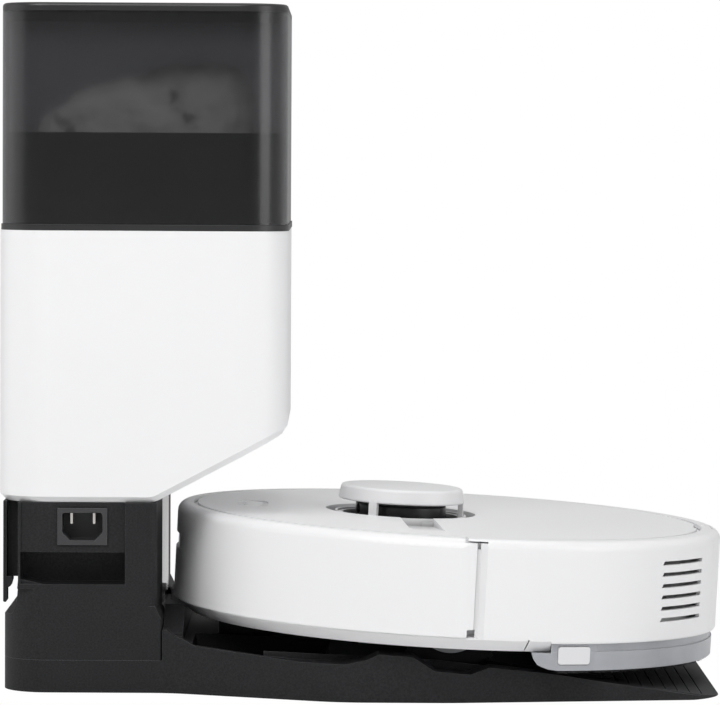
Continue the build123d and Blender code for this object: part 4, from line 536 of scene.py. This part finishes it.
def repeated(name, points, unit, material, seed, sway=0.0, uneven=0.0):
    """Copies of a unit shape on (place, aim, scale) points, made one plain mesh."""
    mesh = bpy.data.meshes.new(name)
    mesh.from_pydata([point[0] for point in points], [], [])
    for column, label in ((1, "aim"), (2, "size")):
        values = mesh.attributes.new(label, "FLOAT_VECTOR", "POINT").data
        for k, point in enumerate(points):
            values[k].vector = point[column]
    piece = bpy.data.objects.new(name, mesh)
    bpy.context.scene.collection.objects.link(piece)
    tree = bpy.data.node_groups.new(name + "_tree", "GeometryNodeTree")
    tree.interface.new_socket("Points", in_out="INPUT", socket_type="NodeSocketGeometry")
    wanted = (("Unit", "Object", unit), ("Seed", "Int", seed), ("Sway", "Float", sway),
              ("Uneven", "Float", uneven), ("Material", "Material", material))
    ports = [tree.interface.new_socket(label, in_out="INPUT", socket_type="NodeSocket" + kind).identifier
             for label, kind, value in wanted]
    tree.interface.new_socket("Result", in_out="OUTPUT", socket_type="NodeSocketGeometry")
    given = node_of(tree, "NodeGroupInput").outputs
    shape = node_of(tree, "GeometryNodeObjectInfo", Object=given["Unit"])
    aim_of, size_of = (node_of(tree, "GeometryNodeInputNamedAttribute", data_type="FLOAT_VECTOR",
                               Name=label).outputs["Attribute"] for label in ("aim", "size"))
    wander = node_of(tree, "FunctionNodeRandomValue", data_type="FLOAT_VECTOR", Min=(-1.0, -1.0, -1.0),
                     Max=(1.0, 1.0, 1.0), Seed=given["Seed"])
    lean = vector_maths(tree, "SCALE", wander.outputs["Value"], given["Sway"])
    turn = node_of(tree, "FunctionNodeAlignRotationToVector", axis="Z",
                   Vector=vector_maths(tree, "ADD", aim_of, lean))
    shortest = maths(tree, "SUBTRACT", 1.0, given["Uneven"])
    length = node_of(tree, "FunctionNodeRandomValue", data_type="FLOAT", Min=shortest, Max=1.0,
                     Seed=given["Seed"])
    copies = node_of(tree, "GeometryNodeInstanceOnPoints", Points=given["Points"],
                     Instance=shape.outputs["Geometry"], Rotation=turn.outputs["Rotation"],
                     Scale=vector_maths(tree, "SCALE", size_of, length.outputs["Value"]))
    real = node_of(tree, "GeometryNodeRealizeInstances", Geometry=copies.outputs["Instances"])
    paint = node_of(tree, "GeometryNodeSetMaterial", Geometry=real.outputs["Geometry"],
                    Material=given["Material"])
    node_of(tree, "NodeGroupOutput", Result=paint.outputs["Geometry"])
    modifier = piece.modifiers.new("repeat", "NODES")
    modifier.node_group = tree
    for port, (label, kind, value) in zip(ports, wanted):
        modifier[port] = value
    applied(piece)
    bpy.data.objects.remove(unit)
    return piece


def strand(name, sides, foot, tip):
    """A strand to be repeated, one metre long from the origin up Z."""
    form = bmesh.new()
    bmesh.ops.create_cone(form, cap_ends=True, segments=sides, radius1=foot, radius2=tip, depth=1.0,
                          matrix=Matrix.Translation((0, 0, 0.5)))
    return new_piece(name, form, None, smooth=False)


def add_box(form, low, high, turn=Matrix()):
    """A plain box between two corners, in millimetres, with a turning matrix in metres."""
    size = [(b - a) / 1000 for a, b in zip(low, high)]
    middle = [(a + b) / 2000 for a, b in zip(low, high)]
    matrix = Matrix.Translation(middle) @ Matrix.Diagonal((*size, 1.0))
    bmesh.ops.create_cube(form, size=1.0, matrix=turn @ matrix)


def add_drum(form, radius, low, high, at, turn=Matrix(), sides=40):
    """A plain drum standing between two heights, in millimetres."""
    radius = radius / 1000
    matrix = Matrix.Translation((at[0] / 1000, at[1] / 1000, (low + high) / 2000))
    bmesh.ops.create_cone(form, cap_ends=True, segments=sides, radius1=radius, radius2=radius,
                          depth=(high - low) / 1000, matrix=turn @ matrix)


def ring_faces(form, rows, closed=False):
    """Walls between neighbouring rows of corners, capped at both ends unless they close a ring."""
    count = len(rows[0])
    for first, second in zip(rows, rows[1:] + (rows[:1] if closed else [])):
        for k in range(count):
            form.faces.new((first[k], first[(k + 1) % count], second[(k + 1) % count], second[k]))
    if not closed:
        form.faces.new(rows[0][::-1])
        form.faces.new(rows[-1])


def on_robot(x, y, z):
    """A point of the robot's own frame, in millimetres, out in the room."""
    return robot_at @ Vector((x / 1000, y / 1000, z / 1000))


def body_under(node):
    """The body that a CAD node rides on."""
    return body_of(frame["nodes"][node])[0]


# ------------------------------------------------------------------ side brush
# Three soft arms moulded in one with the hub, each ending in a fan of nylon bristles.
# The bristles stand nearly level and lean apart a little towards their tips.
hub_place = (-100.0, 100.0)
bristle_size = (0.00018, 0.00018, 0.0332)
brush_grey = moulded("brush_rubber", "#5C5D60", rough=0.6, grain=0.4, mottle=0.06, edge="#808083")
form = bmesh.new()
add_drum(form, 10.0, 5.0, 9.8, hub_place, robot_at)
add_drum(form, 7.5, 9.8, 11.0, hub_place, robot_at)
add_drum(form, 3.4, 11.0, 24.0, hub_place, robot_at, 20)
bristles = []
dice = random.Random(31)
for arm in range(3):
    angle = math.radians(40.0 + 120.0 * arm)
    spin = Matrix.Translation((hub_place[0] / 1000, hub_place[1] / 1000, 0.0))
    spin = robot_at @ spin @ Matrix.Rotation(angle, 4, "Z")
    add_box(form, (7.0, -3.0, 5.1), (20.0, 3.0, 6.6), spin)
    add_box(form, (19.0, -4.2, 5.1), (25.0, 4.2, 6.5), spin)
    for k in range(130):
        side = dice.uniform(-1.0, 1.0)
        root = Vector((0.0235, side * 0.0036, dice.uniform(0.0054, 0.0062)))
        aim = Vector((1.0, side * 0.02 + dice.gauss(0.0, 0.012), dice.uniform(-0.012, 0.0)))
        bristles.append((spin @ root, spin.to_3x3() @ aim.normalized(), bristle_size))
hub = new_piece("side_brush_hub", form, "spinner", brush_grey, smooth=False)
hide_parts("side_brush")
nylon = moulded("brush_nylon", "#2E2F31", rough=0.45, grain=0.1, mottle=0.15, specular=0.4)
tufts = repeated("side_brush_bristles", bristles, strand("bristle", 5, 1.0, 0.55), nylon, 4, 0.004, 0.12)
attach(tufts, "spinner")

# ------------------------------------------------------------------ main brush
# Rubber roller: a core with six chevron vanes that meet in the middle, each thin at its tip, and
# a row of short bristles behind every second vane.
vane_half_length = 71.5
vane_slant = math.radians(34.0)
vane_steps = 48
vane_outline = ((10.5, 1.5), (15.5, 0.9), (19.8, 0.6), (19.8, -0.6), (15.5, -0.9), (10.5, -1.5))
tuft_count = 120
tuft_half_length = 70.0
tuft_size = (0.0004, 0.0004, 0.0088)
roller_at = robot_at @ Matrix.Translation((-0.038, 0.0, 0.0235)) @ Matrix.Rotation(-quarter_turn, 4, "X")


def round_roller(place, along):
    """The angle of a vane round the roller, at a distance along it."""
    return math.tau * place / 6 + vane_slant * (1.0 - abs(along) / vane_half_length)


form = bmesh.new()
add_drum(form, 11.0, -72.0, 72.0, (0, 0), roller_at, 48)
add_drum(form, 3.95, -78.0, 78.0, (0, 0), roller_at, 20)
for vane in range(6):
    rows = []
    for k in range(vane_steps + 1):
        along = -vane_half_length + 2 * vane_half_length * k / vane_steps
        angle = round_roller(vane, along)
        c, s = math.cos(angle), math.sin(angle)
        corners = [(c * radius - s * half, s * radius + c * half, along) for radius, half in vane_outline]
        rows.append([form.verts.new(roller_at @ (Vector(corner) / 1000)) for corner in corners])
    ring_faces(form, rows)
vane_rubber = moulded("roller_rubber", "#B4472C", rough=0.62, grain=0.4, mottle=0.08, edge="#C9694F")
roller = new_piece("main_brush_vanes", form, "roller", vane_rubber, smooth=False)
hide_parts("main_brush")
tufts = []
for vane in range(0, 6, 2):
    for k in range(tuft_count):
        along = -tuft_half_length + 2 * tuft_half_length * k / (tuft_count - 1)
        angle = round_roller(vane + 0.5, along)
        out = Vector((math.cos(angle), math.sin(angle), 0.0))
        root = out * 0.0105 + Vector((0.0, 0.0, along / 1000))
        tufts.append((roller_at @ root, roller_at.to_3x3() @ out, tuft_size))
brush_rows = repeated("main_brush_bristles", tufts, strand("tuft", 6, 1.0, 1.3), nylon, 8, 0.06, 0.08)
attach(brush_rows, "roller")

# ------------------------------------------------------------------ suspension springs
# Music-wire torsion coils round each module's pivot, a little over two and a half turns of thin
# wire with its ends cut square.
turns, turn_steps, wire_sides = 2.6, 72, 7
wire_radius, coil_radius, coil_half = 0.42, 4.5, 1.1
wire = metal("spring_wire", "#A9A9AA", 0.28, scale=500.0)
form = bmesh.new()
for side in (-1, 1):
    coil_at = robot_at @ Matrix.Translation((-0.034, side * 0.0809, 0.034))
    coil_at = coil_at @ Matrix.Rotation(-quarter_turn, 4, "X")
    rows = []
    for k in range(turn_steps + 1):
        angle = math.tau * turns * k / turn_steps
        out = Vector((math.cos(angle), math.sin(angle), 0.0))
        middle = out * coil_radius + Vector((0.0, 0.0, -coil_half + 2 * coil_half * k / turn_steps))
        row = []
        for j in range(wire_sides):
            around = math.tau * j / wire_sides
            spot = middle + out * math.cos(around) * wire_radius
            spot.z += math.sin(around) * wire_radius
            row.append(form.verts.new(coil_at @ (spot / 1000)))
        rows.append(row)
    ring_faces(form, rows)
coils = new_piece("spring_coils", form, body_under("suspension_springs"), wire)
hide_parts("suspension_springs")

# ------------------------------------------------------------------ filters
# Folded filter paper glued into plastic frames: a flat block in the bin, a star-folded ring below
# the motor.
frame_rim = 3.0
flat_folds = 34
star_points = 120
ring_radius = 31.9
ring_rim = 2.2
star_outer, star_inner = 0.0312, 0.0204
paper_inset, paper_clear = 0.003, 0.0032
paper_white = woven("filter_paper", "#ECE8DC", "#D9D3C2", 900.0, rough=0.95, depth=0.3, fuzz=0.1,
                    cross=False)
frame_grey = moulded("filter_frame", "#55575A", rough=0.5, grain=0.4, mottle=0.05, edge="#7C7E80")


def folded_paper(form, points, depth, low_z, high_z, closed):
    """A zigzag of paper standing between two heights; depth is its thickness."""
    corners = ((0.0, low_z), (0.0, high_z), (depth, high_z), (depth, low_z))
    ring_faces(form, [[form.verts.new((place.x + inward.x * t, place.y + inward.y * t, z))
                       for t, z in corners] for place, inward in points], closed)


low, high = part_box("bin_filter")
x0, y0, z0 = low * 1000
x1, y1, z1 = high * 1000
form = bmesh.new()
for bar in (((x0, y0, z0), (x1, y1, z0 + frame_rim)), ((x0, y0, z1 - frame_rim), (x1, y1, z1)),
            ((x0, y0, z0 + frame_rim), (x0 + frame_rim, y1, z1 - frame_rim)),
            ((x1 - frame_rim, y0, z0 + frame_rim), (x1, y1, z1 - frame_rim))):
    add_box(form, *bar)
bin_frame = new_piece("bin_filter_frame", form, "bin", frame_grey, smooth=False)
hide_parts("bin_filter")
form = bmesh.new()
zigzag = []
for k in range(flat_folds + 1):
    x = low.x + paper_inset + (high.x - low.x - 2 * paper_inset) * k / flat_folds
    y, inward = (high.y - 0.0008, -1.0) if k % 2 else (low.y + 0.0006, 1.0)
    zigzag.append((Vector((x, y, 0.0)), Vector((0.0, inward, 0.0))))
folded_paper(form, zigzag, 0.0004, low.z + paper_clear, high.z - paper_clear, False)
new_piece("bin_filter_paper", form, "bin", paper_white, smooth=False)

low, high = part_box("dock_filter")
middle = (low + high) * 500
form = bmesh.new()
add_drum(form, ring_radius, low.z * 1000, low.z * 1000 + ring_rim, middle, sides=72)
add_drum(form, ring_radius, high.z * 1000 - ring_rim, high.z * 1000, middle, sides=72)
dock_frame = new_piece("dock_filter_rims", form, body_under("dock_filter"), frame_grey, smooth=False)
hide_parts("dock_filter")
form = bmesh.new()
star = []
for k in range(star_points):
    out = Vector((math.cos(math.tau * k / star_points), math.sin(math.tau * k / star_points), 0.0))
    star.append((middle / 1000 + out * (star_outer if k % 2 else star_inner), -out))
folded_paper(form, star, 0.0005, low.z + 0.0021, high.z - 0.0021, True)
new_piece("dock_filter_paper", form, body_under("dock_filter"), paper_white, smooth=False)

# ------------------------------------------------------------------ circuit boards
# Green solder-masked boards with tinned joints. Chips, cans and plugs stand on them; their sizes
# are half the length, half the width and the height, in millimetres.
part_sizes = ((1.4, 1.0, 0.8), (1.6, 1.6, 3.6), (2.4, 1.5, 3.0))
board_green = moulded("board_green", "#1F4A30", rough=0.35, grain=0.5, grain_size=380.0, mottle=0.25,
                      edge="#8A8452", edge_share=0.6, cloud=240.0)
dress(board_green, "main_board", "dock_board")
chip_black = moulded("chip_black", "#151516", rough=0.55, grain=0.3, mottle=0.05)
plug_cream = moulded("plug_cream", "#DAD6C8", rough=0.5, grain=0.2, mottle=0.04)
tin = metal("tinned_cans", "#C9CACC", 0.3, scale=700.0)


def add_part(form, low, high, slot, turn):
    """A box that takes one of the piece's materials."""
    before = len(form.faces)
    add_box(form, low, high, turn)
    form.faces.ensure_lookup_table()
    for face in form.faces[before:]:
        face.material_index = slot


def board_parts(name, node, turn, length, width, seed):
    """Chips, cans and plugs standing on a board whose top face is the plane z = 0 of turn."""
    dice = random.Random(seed)
    form = bmesh.new()
    add_part(form, (-6.0, -6.0, 0.0), (6.0, 6.0, 1.2), 0, turn)
    for k in range(30):
        u = dice.uniform(-length / 2 + 3, length / 2 - 3)
        v = dice.uniform(-width / 2 + 3, width / 2 - 3)
        if abs(u) < 9 and abs(v) < 9:
            continue
        kind = dice.choice((0, 0, 0, 1, 2))
        half_u, half_v, tall = part_sizes[kind]
        half_u *= dice.uniform(0.6, 1.1)
        half_v *= dice.uniform(0.7, 1.1)
        add_part(form, (u - half_u, v - half_v, 0.0), (u + half_u, v + half_v, tall), kind, turn)
    new_piece(name, form, body_under(node), chip_black, tin, plug_cream, smooth=False)


main_turn = robot_at @ Matrix.Translation((-0.0525, 0.0, 0.0597)) @ Matrix.Rotation(quarter_turn, 4, "Z")
board_parts("main_board_parts", "main_board", main_turn, 116.0, 24.0, 12)
low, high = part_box("dock_board")
dock_turn = Matrix.Translation(((low.x + high.x) / 2, high.y, (low.z + high.z) / 2))
dock_turn = dock_turn @ Matrix.Rotation(-quarter_turn, 4, "X")
board_parts("dock_board_parts", "dock_board", dock_turn, 50.0, 44.0, 17)

# ------------------------------------------------------------------ mop cloth
# Dark microfibre pad stuck flat under the bracket with hook tape. It follows the bracket's crescent,
# which lies between the robot's outline and a straight edge that bows out in the middle, and its
# pile hangs a little below the rim.
outer_radius, straight_edge = 169.6, 65.6
bow_middle, bow_radius = -98.0, 178.8
sweep = math.acos(straight_edge / outer_radius) - 0.004
cloth_rows, cloth_columns = 12, 110
cloth_top, cloth_edge, cloth_puff = 2.5, 1.6, 1.9
pile_count = 9000
pile_size = (0.00022, 0.00022, 0.0019)
cloth_dark = woven("mop_microfibre", "#3A3A3C", "#1B1B1D", 1300.0, rough=0.95, depth=0.8, fuzz=0.5)


def cloth_spot(u, v):
    """A place on the crescent: u from end to end, v from its inner edge to its outer one."""
    angle = -sweep + 2 * sweep * u
    c = math.cos(angle)
    bow = bow_middle * c + math.sqrt((bow_middle * c) ** 2 + bow_radius ** 2 - bow_middle ** 2)
    inner = min(max(straight_edge / c, bow), outer_radius - 0.4)
    r = inner + (outer_radius - inner) * v
    return r * c, r * math.sin(angle)


form = bmesh.new()
upper, lower = [], []
for i in range(cloth_columns + 1):
    up_row, low_row = [], []
    for j in range(cloth_rows + 1):
        u, v = i / cloth_columns, j / cloth_rows
        x, y = cloth_spot(u, v)
        near_edge = min(v, 1 - v, u * 6, (1 - u) * 6)
        puff = 1.0 - max(0.0, 1.0 - near_edge * 9.0) ** 2
        wave = noise.noise(Vector((x * 0.05, y * 0.05, 3.0))) * 0.25
        up_row.append(form.verts.new(on_robot(x, y, cloth_top)))
        low_row.append(form.verts.new(on_robot(x, y, cloth_edge - cloth_puff * puff + wave * puff)))
    upper.append(up_row)
    lower.append(low_row)
for i in range(cloth_columns):
    for j in range(cloth_rows):
        form.faces.new((upper[i][j], upper[i + 1][j], upper[i + 1][j + 1], upper[i][j + 1]))
        form.faces.new((lower[i][j], lower[i][j + 1], lower[i + 1][j + 1], lower[i + 1][j]))
    for j in (0, cloth_rows):
        form.faces.new((upper[i][j], lower[i][j], lower[i + 1][j], upper[i + 1][j]))
for i in (0, cloth_columns):
    for j in range(cloth_rows):
        form.faces.new((upper[i][j], upper[i][j + 1], lower[i][j + 1], lower[i][j]))
flat_area = sum(f.calc_area() for f in form.faces) / 2
cloth = new_piece("mop_cloth_pad", form, "mop", cloth_dark)
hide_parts("mop_cloth")
pile = []
dice = random.Random(5)
for k in range(pile_count):
    u = dice.random()
    v = 1.0 - dice.random() ** 2.2 * 0.96 if k % 2 else 0.02 + 0.96 * dice.random()
    x, y = cloth_spot(u, v)
    edge_lean = max(0.0, v - 0.9) * 7.0
    out = Vector((x, y, 0.0)).normalized() * edge_lean
    down = Vector((dice.gauss(0, 0.35), dice.gauss(0, 0.35), -1.0))
    pile.append((on_robot(x, y, 0.2), robot_at.to_3x3() @ (down + out).normalized(), pile_size))
loops = repeated("mop_cloth_pile", pile, strand("loop", 4, 1.0, 0.7), cloth_dark, 9, 0.2, 0.5)
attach(loops, "mop")
